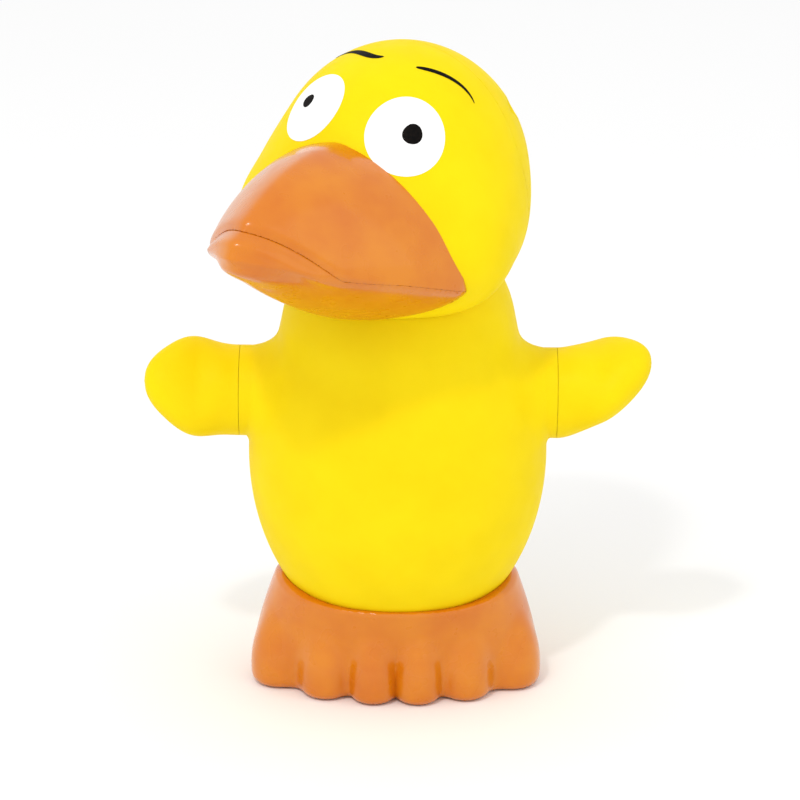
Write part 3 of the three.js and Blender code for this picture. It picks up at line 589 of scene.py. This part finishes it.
def head_casing(p):
    outer = head_skin(p)
    bosses = [barrel(p, 1, HEAD_POST, -6, 30, centre) for centre in HEAD_SCREWS]
    bosses += [barrel(p, 1, FRAME_POST, FRAME_FACE, 35, centre) for centre in FRAME_SCREWS]
    casing = join(cut(outer, head_skin(p, WALL)), common(join(*bosses), outer))
    tools = [barrel(p, 1, SCREW_HOLE, -4, 30, centre) for centre in HEAD_SCREWS]
    tools += [barrel(p, 1, SCREW_WELL, HEAD_SCREW_SEAT, 35, centre) for centre in HEAD_SCREWS]
    tools += [barrel(p, 1, SCREW_HOLE, 0, 21, centre) for centre in FRAME_SCREWS]
    casing = soft_max(casing, -neck_ball(p, NECK_RADIUS + NECK_PLAY), 0.5)
    return cut(casing, *tools)


def upper_bed(p):
    """The bed in the face for the upper bill, a little inside the bill's own border."""
    q = on_beak(p)
    return common(beak_skin(q, 0.9), mouth_height(q) - q[:, 2], -head_skin(p, BEAK_BED + SEAM))


def head_front(p):
    holes = [barrel(p, 1, SCREW_HOLE, -40, 0, centre) for centre in BEAK_SCREWS]
    holes += [barrel(p, 1, SCREW_WELL, BEAK_SCREW_SEAT, 0, centre) for centre in BEAK_SCREWS]
    shell = common(head_casing(p), p[:, 1] - HEAD_PARTING + SEAM)
    return cut(shell, upper_bed(p), block(p, *TONGUE_SLOT), *holes)


def head_back(p):
    return common(head_casing(p), HEAD_PARTING + SEAM - p[:, 1])


def upper_beak(p):
    q = on_beak(p)
    mouth = mouth_height(q) + LIP_GAP / 2 + mouth_recess(q) - q[:, 2]
    skin = lipped_beak(q)
    shell = soft_max(skin, mouth, 0.03 + 0.4 * front_of_beak(q))
    hollow = common(beak_skin(q, BEAK_WALL), BEAK_WALL + 1.6 + mouth_height(q) - q[:, 2])
    posts = join(*[barrel(p, 1, BEAK_POST, -36, -10, centre) for centre in BEAK_SCREWS])
    holes = [barrel(p, 1, SCREW_HOLE, -33, 0, centre) for centre in BEAK_SCREWS]
    bill = join(cut(shell, hollow), common(posts, skin))
    return cut(bill, head_skin(p, BEAK_BED), *holes, -5 - p[:, 1])


def mouth_z(y):
    """Height of the mouth plane at a place along y, in the head centre's frame."""
    return BEAK_CENTRE[2] - (y - BEAK_CENTRE[1]) * math.tan(BEAK_PITCH)


def tongue_and_tail(p):
    """The bar from the tongue past the jaw pin to the tail that the push rod lifts."""
    y, z = JAW
    outline = [(-36, mouth_z(-36) - 1.1), (-26, mouth_z(-26) + 0.3), (y, z + 1.6), (2.5, z + 1.6),
               (2.5, z - 1.5), (y, z - 1.5), (-26, mouth_z(-26) - 2.4), (-36, mouth_z(-36) - 2.9)]
    radius, half_length = JAW_BARREL
    plate = side_plate(p, outline, TONGUE_HALF_WIDTH)
    return join(plate, barrel(p, 0, radius, -half_length, half_length, JAW))


def neck_keep_out(p):
    """The neck dome's wall, for what reaches down past its rim to move round."""
    wall = cut(neck_ball(p, NECK_RADIUS + NECK_ROOM), neck_ball(p, NECK_RADIUS - WALL - 1.2))
    return cut(wall, cone(p + np.array([0, 0, HEAD_HEIGHT]), NECK_REACH))


def lower_beak(p):
    q = on_beak(p)
    mouth = q[:, 2] - mouth_height(q) + LIP_GAP / 2 + mouth_recess(q)
    skin = soft_max(lipped_beak(q), mouth, 0.03 + 0.4 * front_of_beak(q))
    hollow = common(beak_skin(q, BEAK_WALL), q[:, 2] + BEAK_WALL + 1.6)
    bill = common(cut(skin, hollow), FIT - head_skin(p))
    pad = ellipsoid(q, (0, -31, -2.2), (8, 15, 2.8))
    bill = soft_min(bill, common(pad, q[:, 1] + 17), 1.0)
    opened = turned_about_x(p, JAW_OPENING, JAW)
    necks = [common(neck_ball(place, NECK_RADIUS + NECK_ROOM), place[:, 1] + 13)
             for place in (p, opened)]
    bill = cut(bill, *necks)
    pin_hole = barrel(p, 0, JAW_PIN_HOLE, -10, 10, JAW)
    return cut(join(bill, tongue_and_tail(p)), pin_hole, neck_keep_out(p), neck_keep_out(opened))


# ------------------------------------------------------------------ materials

def linear(red, green, blue):
    """A colour of 0 to 255 screen values as linear light."""
    shares = [value / 255 for value in (red, green, blue)]
    return [s / 12.92 if s <= 0.04045 else ((s + 0.055) / 1.055) ** 2.4 for s in shares] + [1.0]


class Finish:
    """A procedural material in the making, on object coordinates in millimetres."""

    def __init__(self, name, **inputs):
        self.material = bpy.data.materials.new(name)
        self.material.use_nodes = True
        self.nodes = self.material.node_tree.nodes
        self.links = self.material.node_tree.links
        self.shader = self.nodes["Principled BSDF"]
        for label, value in inputs.items():
            self.shader.inputs[label.replace("_", " ")].default_value = value
        coordinates = self.nodes.new("ShaderNodeTexCoord")
        scale = self.nodes.new("ShaderNodeVectorMath")
        scale.operation = "SCALE"
        scale.inputs["Scale"].default_value = 1 / MM
        self.links.new(coordinates.outputs["Object"], scale.inputs[0])
        self.place = scale.outputs["Vector"]

    def noise(self, size, detail=2.0, roughness=0.5):
        """Soft noise whose blobs are about `size` millimetres across."""
        node = self.nodes.new("ShaderNodeTexNoise")
        node.inputs["Scale"].default_value = 1 / size
        node.inputs["Detail"].default_value = detail
        node.inputs["Roughness"].default_value = roughness
        self.links.new(self.place, node.inputs["Vector"])
        return node.outputs["Fac"]

    def ramp(self, value, stops):
        node = self.nodes.new("ShaderNodeValToRGB")
        elements = node.color_ramp.elements
        for element, (place, colour) in zip(elements, stops[:2]):
            element.position, element.color = place, colour
        for place, colour in stops[2:]:
            elements.new(place).color = colour
        self.links.new(value, node.inputs["Fac"])
        return node.outputs["Color"]

    def remap(self, value, low, high):
        node = self.nodes.new("ShaderNodeMapRange")
        node.inputs["From Min"].default_value = 0.3
        node.inputs["From Max"].default_value = 0.7
        node.inputs["To Min"].default_value = low
        node.inputs["To Max"].default_value = high
        self.links.new(value, node.inputs["Value"])
        return node.outputs["Result"]

    def bump(self, height, depth, below=None):
        """Relief of `depth` millimetres, laid over another relief if one is given."""
        node = self.nodes.new("ShaderNodeBump")
        node.inputs["Strength"].default_value = 1.0
        node.inputs["Distance"].default_value = depth * MM
        self.links.new(height, node.inputs["Height"])
        if below is not None:
            self.links.new(below, node.inputs["Normal"])
        return node.outputs["Normal"]

    def feed(self, label, output):
        self.links.new(output, self.shader.inputs[label])


def yellow_vinyl():
    """Matte soft vinyl: an even, slightly mottled yellow with a fine moulded grain."""
    finish = Finish("yellow_vinyl", Specular_IOR_Level=0.08, Subsurface_Weight=0.1)
    finish.shader.inputs["Subsurface Radius"].default_value = (1.0, 0.7, 0.1)
    finish.shader.inputs["Subsurface Scale"].default_value = 1.5 * MM
    mottle = finish.noise(11, 3)
    colour = finish.ramp(mottle, [(0.3, linear(238, 210, 6)), (0.7, linear(243, 216, 10))])
    finish.feed("Base Color", colour)
    finish.feed("Roughness", finish.remap(finish.noise(3), 0.5, 0.62))
    grain = finish.bump(finish.noise(0.35, 1), 0.006)
    finish.feed("Normal", finish.bump(finish.noise(4, 2), 0.03, grain))
    return finish.material


def orange_vinyl():
    """Glossy orange paint over vinyl, uneven in tone, with a soft orange-peel relief."""
    finish = Finish("orange_vinyl", Specular_IOR_Level=0.3, Coat_Weight=0.45, Coat_Roughness=0.1)
    tone = finish.noise(13, 3, 0.55)
    colour = finish.ramp(tone, [(0.3, linear(205, 109, 7)), (0.7, linear(216, 128, 12))])
    finish.feed("Base Color", colour)
    finish.feed("Roughness", finish.remap(finish.noise(5), 0.24, 0.36))
    peel = finish.bump(finish.noise(1.6, 1), 0.004)
    finish.feed("Normal", finish.bump(finish.noise(7, 1), 0.1, peel))
    return finish.material


def eye_white():
    finish = Finish("eye_white", Specular_IOR_Level=0.2)
    tone = finish.noise(3, 2)
    whites = [(0.3, linear(246, 246, 244)), (0.7, linear(252, 252, 251))]
    finish.feed("Base Color", finish.ramp(tone, whites))
    finish.feed("Roughness", finish.remap(finish.noise(1.5), 0.42, 0.55))
    finish.feed("Normal", finish.bump(finish.noise(1.2, 2), 0.008))
    return finish.material


def black_paint():
    finish = Finish("black_paint", Specular_IOR_Level=0.06)
    tone = finish.noise(0.8, 2)
    blacks = [(0.35, linear(6, 5, 5)), (0.75, linear(20, 14, 11))]
    finish.feed("Base Color", finish.ramp(tone, blacks))
    finish.feed("Roughness", finish.remap(finish.noise(1.0), 0.45, 0.65))
    finish.feed("Normal", finish.bump(finish.noise(0.5, 2), 0.01))
    return finish.material


def moulded_plastic(name, colour):
    """Moulded works plastic: faint flow marks and a fine spark-eroded grain."""
    finish = Finish(name, Specular_IOR_Level=0.4)
    dark = [channel * 0.88 for channel in colour[:3]] + [1.0]
    finish.feed("Base Color", finish.ramp(finish.noise(6, 4), [(0.3, dark), (0.7, colour)]))
    finish.feed("Roughness", finish.remap(finish.noise(2), 0.42, 0.6))
    finish.feed("Normal", finish.bump(finish.noise(0.25, 1), 0.006))
    return finish.material


def steel():
    """Bright zinc-plated steel with slight tarnish."""
    finish = Finish("steel", Metallic=1.0)
    stops = [(0.3, linear(168, 166, 160)), (0.7, linear(206, 207, 208))]
    finish.feed("Base Color", finish.ramp(finish.noise(1.5, 4), stops))
    finish.feed("Roughness", finish.remap(finish.noise(0.7), 0.22, 0.42))
    finish.feed("Normal", finish.bump(finish.noise(0.2, 2), 0.003))
    return finish.material


FINISHES = {
    "yellow_vinyl": yellow_vinyl(),
    "orange_vinyl": orange_vinyl(),
    "eye_white": eye_white(),
    "black_paint": black_paint(),
    "white_plastic": moulded_plastic("white_plastic", linear(233, 229, 218)),
    "grey_plastic": moulded_plastic("grey_plastic", linear(92, 96, 101)),
    "steel": steel(),
}


# ------------------------------------------------------------------ pieces

WORLD = np.eye(4)
MARGIN = 3                       # room left round a CAD node's box for its fine version


def add_piece(name, body, slot, vertices, faces, matrix, *nodes, crisp=38):
    """A mesh from local millimetre vertices, riding on a CAD body and standing for CAD nodes."""
    world = moved(vertices, matrix) * MM
    mesh = bpy.data.meshes.new(name)
    mesh.from_pydata(world, [], faces)
    mesh.shade_smooth()
    mesh.set_sharp_from_angle(angle=math.radians(crisp))
    piece = bpy.data.objects.new(name, mesh)
    bpy.context.scene.collection.objects.link(piece)
    mesh.materials.append(FINISHES[slot])
    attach(piece, body)
    if nodes:
        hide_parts(*nodes)
    return piece


def add_vinyl(name, node, body, field, matrix, cell):
    """The fine version of a CAD node: its field's surface in and a little round the node's box."""
    low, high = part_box(node)
    corners = np.array([[(low, high)[i][0], (low, high)[j][1], (low, high)[k][2]]
                        for i in (0, 1) for j in (0, 1) for k in (0, 1)]) / MM
    local = moved(corners, np.linalg.inv(matrix))
    vertices, faces = contoured(field, local.min(0) - MARGIN, local.max(0) + MARGIN, cell)
    return add_piece(name, body, SLOTS[node], vertices, faces, matrix, node)


add_vinyl("feet", "feet_base", "body", feet_base, WORLD, 0.5)
add_vinyl("feet_plate", "base_plate", "body", base_plate, WORLD, 0.6)
add_vinyl("body_front", "body_front_shell", "body", body_front, WORLD, 0.6)
add_vinyl("body_back", "body_back_shell", "body", body_back, WORLD, 0.6)
for name, side in (("left_wing", 1), ("right_wing", -1)):
    matrix = wing_frame_matrix(name)
    add_vinyl(name + "_paddle", name, name, lambda p, side=side: wing(p, side), matrix, 0.45)
add_vinyl("head_front", "head_front_shell", "head", head_front, HEAD, 0.6)
add_vinyl("head_back", "head_back_shell", "head", head_back, HEAD, 0.6)
add_vinyl("bill_upper", "upper_beak", "head", upper_beak, HEAD, 0.45)
add_vinyl("bill_lower", "lower_beak", "lower_beak", lower_beak, HEAD, 0.45)

# ------------------------------------------------------------------ painted eyes and eyebrows

PAINT = 0.07                     # thickness of a coat of paint
EYES = {                         # azimuth and elevation in degrees, and radius, of eye and pupil
    "left": {"eye": (34.3, 30.8, 8.75), "pupil": (37.9, 30.8, 2.2)},
    "right": {"eye": (-30.8, 35.8, 8.4), "pupil": (-36.6, 36.0, 1.6)},
}
BROWS = {                        # (x, y, z) near the skin from the inner end, and the width
    "left": ([(7.3, -5.8, 23.7), (9.3, -4.7, 23.3), (12.6, -2.7, 22.0),
              (16.3, -1.4, 19.7), (19.6, -1.8, 16.7)], 1.1),
    "right": ([(-0.6, -6.2, 24.8), (-3.5, -6.5, 24.4), (-7.0, -5.1, 24.0),
               (-10.9, -3.0, 22.9), (-15.5, -2.0, 20.2)], 1.7),
}


def on_head(directions, lift):
    """Points on the head's skin along directions from its centre, lifted off by a little."""
    directions = directions / np.linalg.norm(directions, axis=1, keepdims=True)
    inside, outside = np.full(len(directions), 10.0), np.full(len(directions), 60.0)
    for _ in range(30):
        middle = (inside + outside) / 2
        within = head_skin(directions * middle[:, None]) < 0
        inside, outside = np.where(within, middle, inside), np.where(within, outside, middle)
    point = directions * inside[:, None]
    normal = slope(head_skin, point)
    return point + lift * normal / np.linalg.norm(normal, axis=1, keepdims=True)


def coat(rows, lift, closed):
    """A thin closed film from rows of directions: its top, its underside and its edge."""
    rows = np.array(rows)
    count, across = rows.shape[:2]
    flat = rows.reshape(-1, 3)
    vertices = np.concatenate([on_head(flat, lift + PAINT), on_head(flat, lift)])
    index = np.arange(count * across).reshape(count, across)
    if closed:
        index = np.concatenate([index, index[:1]])
    a, b, c, d = index[:-1, :-1], index[:-1, 1:], index[1:, 1:], index[1:, :-1]
    top = np.stack([a, b, c, d], axis=-1).reshape(-1, 4)
    bottom = top[:, ::-1] + count * across
    rims = [index[:, -1]] if closed else [index[:, -1], index[::-1, 0], index[0], index[-1, ::-1]]
    edges = []
    for rim in rims:
        low = rim + count * across
        edges.append(np.stack([rim[1:], rim[:-1], low[:-1], low[1:]], axis=-1))
    return vertices, np.concatenate([top, bottom] + edges)


PAINT_LIFT = 0.02                # of the paint over the vinyl, so that the two don't touch
EYE_WOBBLE, PUPIL_WOBBLE = 0.012, 0.03


def disc(azimuth, elevation, radius, wobble, lift):
    """A round spot of paint, slightly uneven round its edge."""
    middle = facing(azimuth, elevation)
    right = np.cross(middle, (0, 0, 1))
    right /= np.linalg.norm(right)
    up = np.cross(right, middle)
    reach = np.linalg.norm(on_head(middle[None], 0))
    rows = []
    for angle in np.linspace(0, 2 * math.pi, 72, endpoint=False):
        uneven = math.cos(3 * angle + 0.6) + math.cos(2 * angle + 2.0)
        edge = radius * (1 + wobble * uneven)
        steps = np.linspace(0.004, 1, 12)[:, None] * edge / reach
        rows.append(middle + np.tan(steps) * (math.cos(angle) * right + math.sin(angle) * up))
    return coat(rows, lift, closed=True)


def brow(points, width, lift):
    """A brush stroke along points, thick in its first half and drawn out to a fine end."""
    points = np.array(points)
    knots = np.linspace(0, 1, len(points))
    t = np.linspace(0, 1, 48)
    fit = [np.polynomial.polynomial.Polynomial.fit(knots, points[:, i], 3) for i in range(3)]
    line = np.stack([f(t) for f in fit], axis=1)
    along = np.gradient(line, axis=0)
    across = np.cross(along, line)
    across /= np.linalg.norm(across, axis=1, keepdims=True)
    half = 0.5 * width * np.sin(np.pi * np.clip(t, 0, 1) ** 0.75) ** 0.7 + 0.03
    rows = [line[i] + np.linspace(-half[i], half[i], 7)[:, None] * across[i] for i in range(len(t))]
    return coat(rows, lift, closed=False)


for side, spots in EYES.items():
    vertices, faces = disc(*spots["eye"], EYE_WOBBLE, PAINT_LIFT)
    add_piece("eye_" + side, "head", "eye_white", vertices, faces, HEAD)
    vertices, faces = disc(*spots["pupil"], PUPIL_WOBBLE, PAINT_LIFT + PAINT + PAINT_LIFT)
    add_piece("pupil_" + side, "head", "black_paint", vertices, faces, HEAD)
for side, (points, width) in BROWS.items():
    vertices, faces = brow(points, width, PAINT_LIFT)
    add_piece("brow_" + side, "head", "black_paint", vertices, faces, HEAD)

# ------------------------------------------------------------------ screws

SCREW_HEAD = (2.25, 1.5)         # radius and height
SCREW_CROWN = 3.6                # radius of the head's domed top
SCREW_RECESS = (1.35, 0.32, 0.95)  # half length, half width and depth of the cross
SCREW_THREAD = (1.02, 0.13, 0.9)   # radius, height and pitch


def screw(p, shaft):
    """A pan-head self-tapping screw: seat at z = 0, shaft down to -shaft, cross recess on top."""
    round_radius, height = SCREW_HEAD
    radius = np.hypot(p[:, 0], p[:, 1])
    dome = sphere(p, (0, 0, height - SCREW_CROWN), SCREW_CROWN)
    head = soft_max(common(radius - round_radius, -p[:, 2]), dome, 0.3)
    arm, half_width, depth = SCREW_RECESS
    recess = join(block(p, (-arm, -half_width, height - depth), (arm, half_width, 9)),
                  block(p, (-half_width, -arm, height - depth), (half_width, arm, 9)))
    core, ridge, pitch = SCREW_THREAD
    turn = np.arctan2(p[:, 1], p[:, 0]) + 2 * math.pi * p[:, 2] / pitch
    thread = radius - core - ridge * np.cos(turn)
    point = (radius - 0.9 * (p[:, 2] + shaft)) / 1.35
    return join(cut(head, recess), common(thread, p[:, 2] - 0.1, point))


def screw_place(node, matrix):
    """A screw's seat frame and shaft length, measured on its CAD solid."""
    corners = np.array([node.matrix_world @ vertex.co for vertex in node.data.vertices]) / MM
    local = moved(corners, np.linalg.inv(matrix))
    low, high = local.min(0), local.max(0)
    axis = int(np.argmax(high - low))
    off_axis = np.linalg.norm(np.delete(local - (low + high) / 2, axis, 1), axis=1)
    upright = off_axis[local[:, axis] > high[axis] - 0.1].max() > 0.8 * SCREW_HEAD[0]
    length = high[axis] - low[axis]
    along = np.eye(3)[axis] * (1 if upright else -1)
    across = np.eye(3)[(axis + 1) % 3]
    place = np.eye(4)
    place[:3, :3] = np.stack([across, np.cross(along, across), along], axis=1)
    place[:3, 3] = (low + high) / 2 + (length / 2 - SCREW_HEAD[1]) * along
    return matrix @ place, length - SCREW_HEAD[1]


BODIES = frame["record"]["behaviour"]["bodies"]
BODY_OF = {name: body for body, names in BODIES.items() for name in names}
screw_meshes = {}
for name, node in frame["nodes"].items():
    if "_screw" not in name:
        continue
    place, shaft = screw_place(node, HEAD if BODY_OF[name] == "head" else WORLD)
    shaft = round(float(shaft), 2)
    if shaft not in screw_meshes:
        cell = 0.16
        low, high = (-2.7, -2.7, -shaft - 0.4), (2.7, 2.7, 2)
        screw_meshes[shaft] = contoured(lambda p: screw(p, shaft), low, high, cell)
    add_piece(name + "_fine", BODY_OF[name], "steel", *screw_meshes[shaft], place, name)

# ------------------------------------------------------------------ return spring

SPRING_RADIUS = 1.8
SPRING_ENDS = (4.5, 14.5)        # heights of the coil's ends over the neck pivot
SPRING_TURNS = 6
SPRING_WIRE = 0.28


def coil():
    """A round wire wound round the push rod, in the stick's frame, with flat ends."""
    rings, sides = 288, 12
    share = np.linspace(0, 1, rings)
    turn = 2 * math.pi * SPRING_TURNS * share
    outward = np.stack([np.cos(turn), np.sin(turn), 0 * turn], axis=1)
    height = SPRING_ENDS[0] + (SPRING_ENDS[1] - SPRING_ENDS[0]) * share
    centre = SPRING_RADIUS * outward + height[:, None] * np.array([0, 0, 1])
    along = np.gradient(centre, axis=0)
    along /= np.linalg.norm(along, axis=1, keepdims=True)
    upward = np.cross(outward, along)
    angle = np.linspace(0, 2 * math.pi, sides, endpoint=False)[None, :, None]
    wire = SPRING_WIRE * (np.cos(angle) * outward[:, None] + np.sin(angle) * upward[:, None])
    index = np.arange(rings * sides).reshape(rings, sides)
    ahead = np.roll(index, -1, axis=1)
    quads = np.stack([index[:-1], index[1:], ahead[1:], ahead[:-1]], axis=-1).reshape(-1, 4)
    ends = [list(index[0]), list(index[-1, ::-1])]
    return (centre[:, None] + wire).reshape(-1, 3), quads.tolist() + ends


STICK = HEAD.copy()
STICK[:3, 3] = NECK
spring = add_piece("return_coil", "head", "steel", *coil(), STICK, "return_spring")
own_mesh(spring)

# ------------------------------------------------------------------ the works, carried over

def smooth_shading():
    """Nodes that shade faces smoothly and keep edges of more than 35 degrees sharp."""
    tree = bpy.data.node_groups.new("smooth_shading", "GeometryNodeTree")
    tree.interface.new_socket("Geometry", in_out="INPUT", socket_type="NodeSocketGeometry")
    tree.interface.new_socket("Geometry", in_out="OUTPUT", socket_type="NodeSocketGeometry")
    source, sink = tree.nodes.new("NodeGroupInput"), tree.nodes.new("NodeGroupOutput")
    faces, edges = [tree.nodes.new("GeometryNodeSetShadeSmooth") for _ in range(2)]
    edges.domain = "EDGE"
    edges.inputs["Shade Smooth"].default_value = False
    angle = tree.nodes.new("GeometryNodeInputMeshEdgeAngle")
    sharp = tree.nodes.new("FunctionNodeCompare")
    sharp.operation = "GREATER_THAN"
    sharp.inputs["B"].default_value = math.radians(35)
    tree.links.new(source.outputs["Geometry"], faces.inputs["Geometry"])
    tree.links.new(faces.outputs["Geometry"], edges.inputs["Geometry"])
    tree.links.new(angle.outputs["Unsigned Angle"], sharp.inputs["A"])
    tree.links.new(sharp.outputs["Result"], edges.inputs["Selection"])
    tree.links.new(edges.outputs["Geometry"], sink.inputs["Geometry"])
    return tree


SMOOTH_SHADING = smooth_shading()
for name, node in frame["nodes"].items():
    if not node.hide_render:
        node.data.materials.clear()
        node.data.materials.append(FINISHES[SLOTS[name]])
        node.modifiers.new("welded", "WELD").merge_threshold = 0.002 * MM
        bevel = node.modifiers.new("edges", "BEVEL")
        bevel.width = 0.2 * MM
        bevel.segments = 2
        bevel.limit_method = "ANGLE"
        bevel.angle_limit = math.radians(40)
        node.modifiers.new("shading", "NODES").node_group = SMOOTH_SHADING

# ------------------------------------------------------------------ stage

CAMERA_LENS = 170
CAMERA_DISTANCE = 850
CAMERA_AZIMUTH = 0
CAMERA_ELEVATION = 18
CAMERA_ROLL = 0.53               # degrees that the picture is turned clockwise
CAMERA_TARGET = (0.42, 0, 65.73)

SKY = 0.97
SOFTBOXES = {                    # azimuth and elevation in degrees, distance, size and power
    "key": (-30, 45, 0.9, 0.24, 0.9),
    "spark": (-20, 50, 0.8, 0.05, 1.1),
    "fill": (60, 35, 1.0, 0.7, 0.6),
}


def add_floor():
    bpy.ops.mesh.primitive_plane_add(size=12)
    floor = bpy.context.object
    floor.name = "floor"
    floor.location.z = cad_box[0].z
    finish = Finish("floor", Specular_IOR_Level=0.0, Roughness=1.0)
    pale = [(0.0, (0.94, 0.94, 0.94, 1)), (1.0, (0.96, 0.96, 0.96, 1))]
    finish.feed("Base Color", finish.ramp(finish.noise(400), pale))
    floor.data.materials.append(finish.material)


def add_softbox(name, azimuth, elevation, distance, size, power):
    """A square area light aimed at the object's middle. Azimuth 0 is the object's front."""
    back = Vector(facing(azimuth, elevation))
    light = bpy.data.lights.new(name, "AREA")
    light.energy = power
    light.size = size
    lamp = bpy.data.objects.new(name, light)
    lamp.location = Vector((0, 0, 0.08)) + back * distance
    lamp.rotation_euler = back.to_track_quat("Z", "Y").to_euler()
    bpy.context.scene.collection.objects.link(lamp)


def add_camera():
    back = Vector(facing(CAMERA_AZIMUTH, CAMERA_ELEVATION))
    data = bpy.data.cameras.new("camera")
    data.lens = CAMERA_LENS
    camera = bpy.data.objects.new("camera", data)
    camera.location = (Vector(CAMERA_TARGET) + back * CAMERA_DISTANCE) * MM
    camera.rotation_euler = back.to_track_quat("Z", "Y").to_euler()
    camera.rotation_euler.rotate_axis("Z", math.radians(CAMERA_ROLL))
    bpy.context.scene.collection.objects.link(camera)
    bpy.context.scene.camera = camera


def add_sky(strength):
    world = bpy.data.worlds.new("studio")
    world.use_nodes = True
    world.node_tree.nodes["Background"].inputs["Color"].default_value = (1, 1, 1, 1)
    world.node_tree.nodes["Background"].inputs["Strength"].default_value = strength
    bpy.context.scene.world = world


add_floor()
add_sky(SKY)
for name, setting in SOFTBOXES.items():
    add_softbox(name, *setting)
add_camera()
bpy.context.scene.view_settings.view_transform = "Standard"
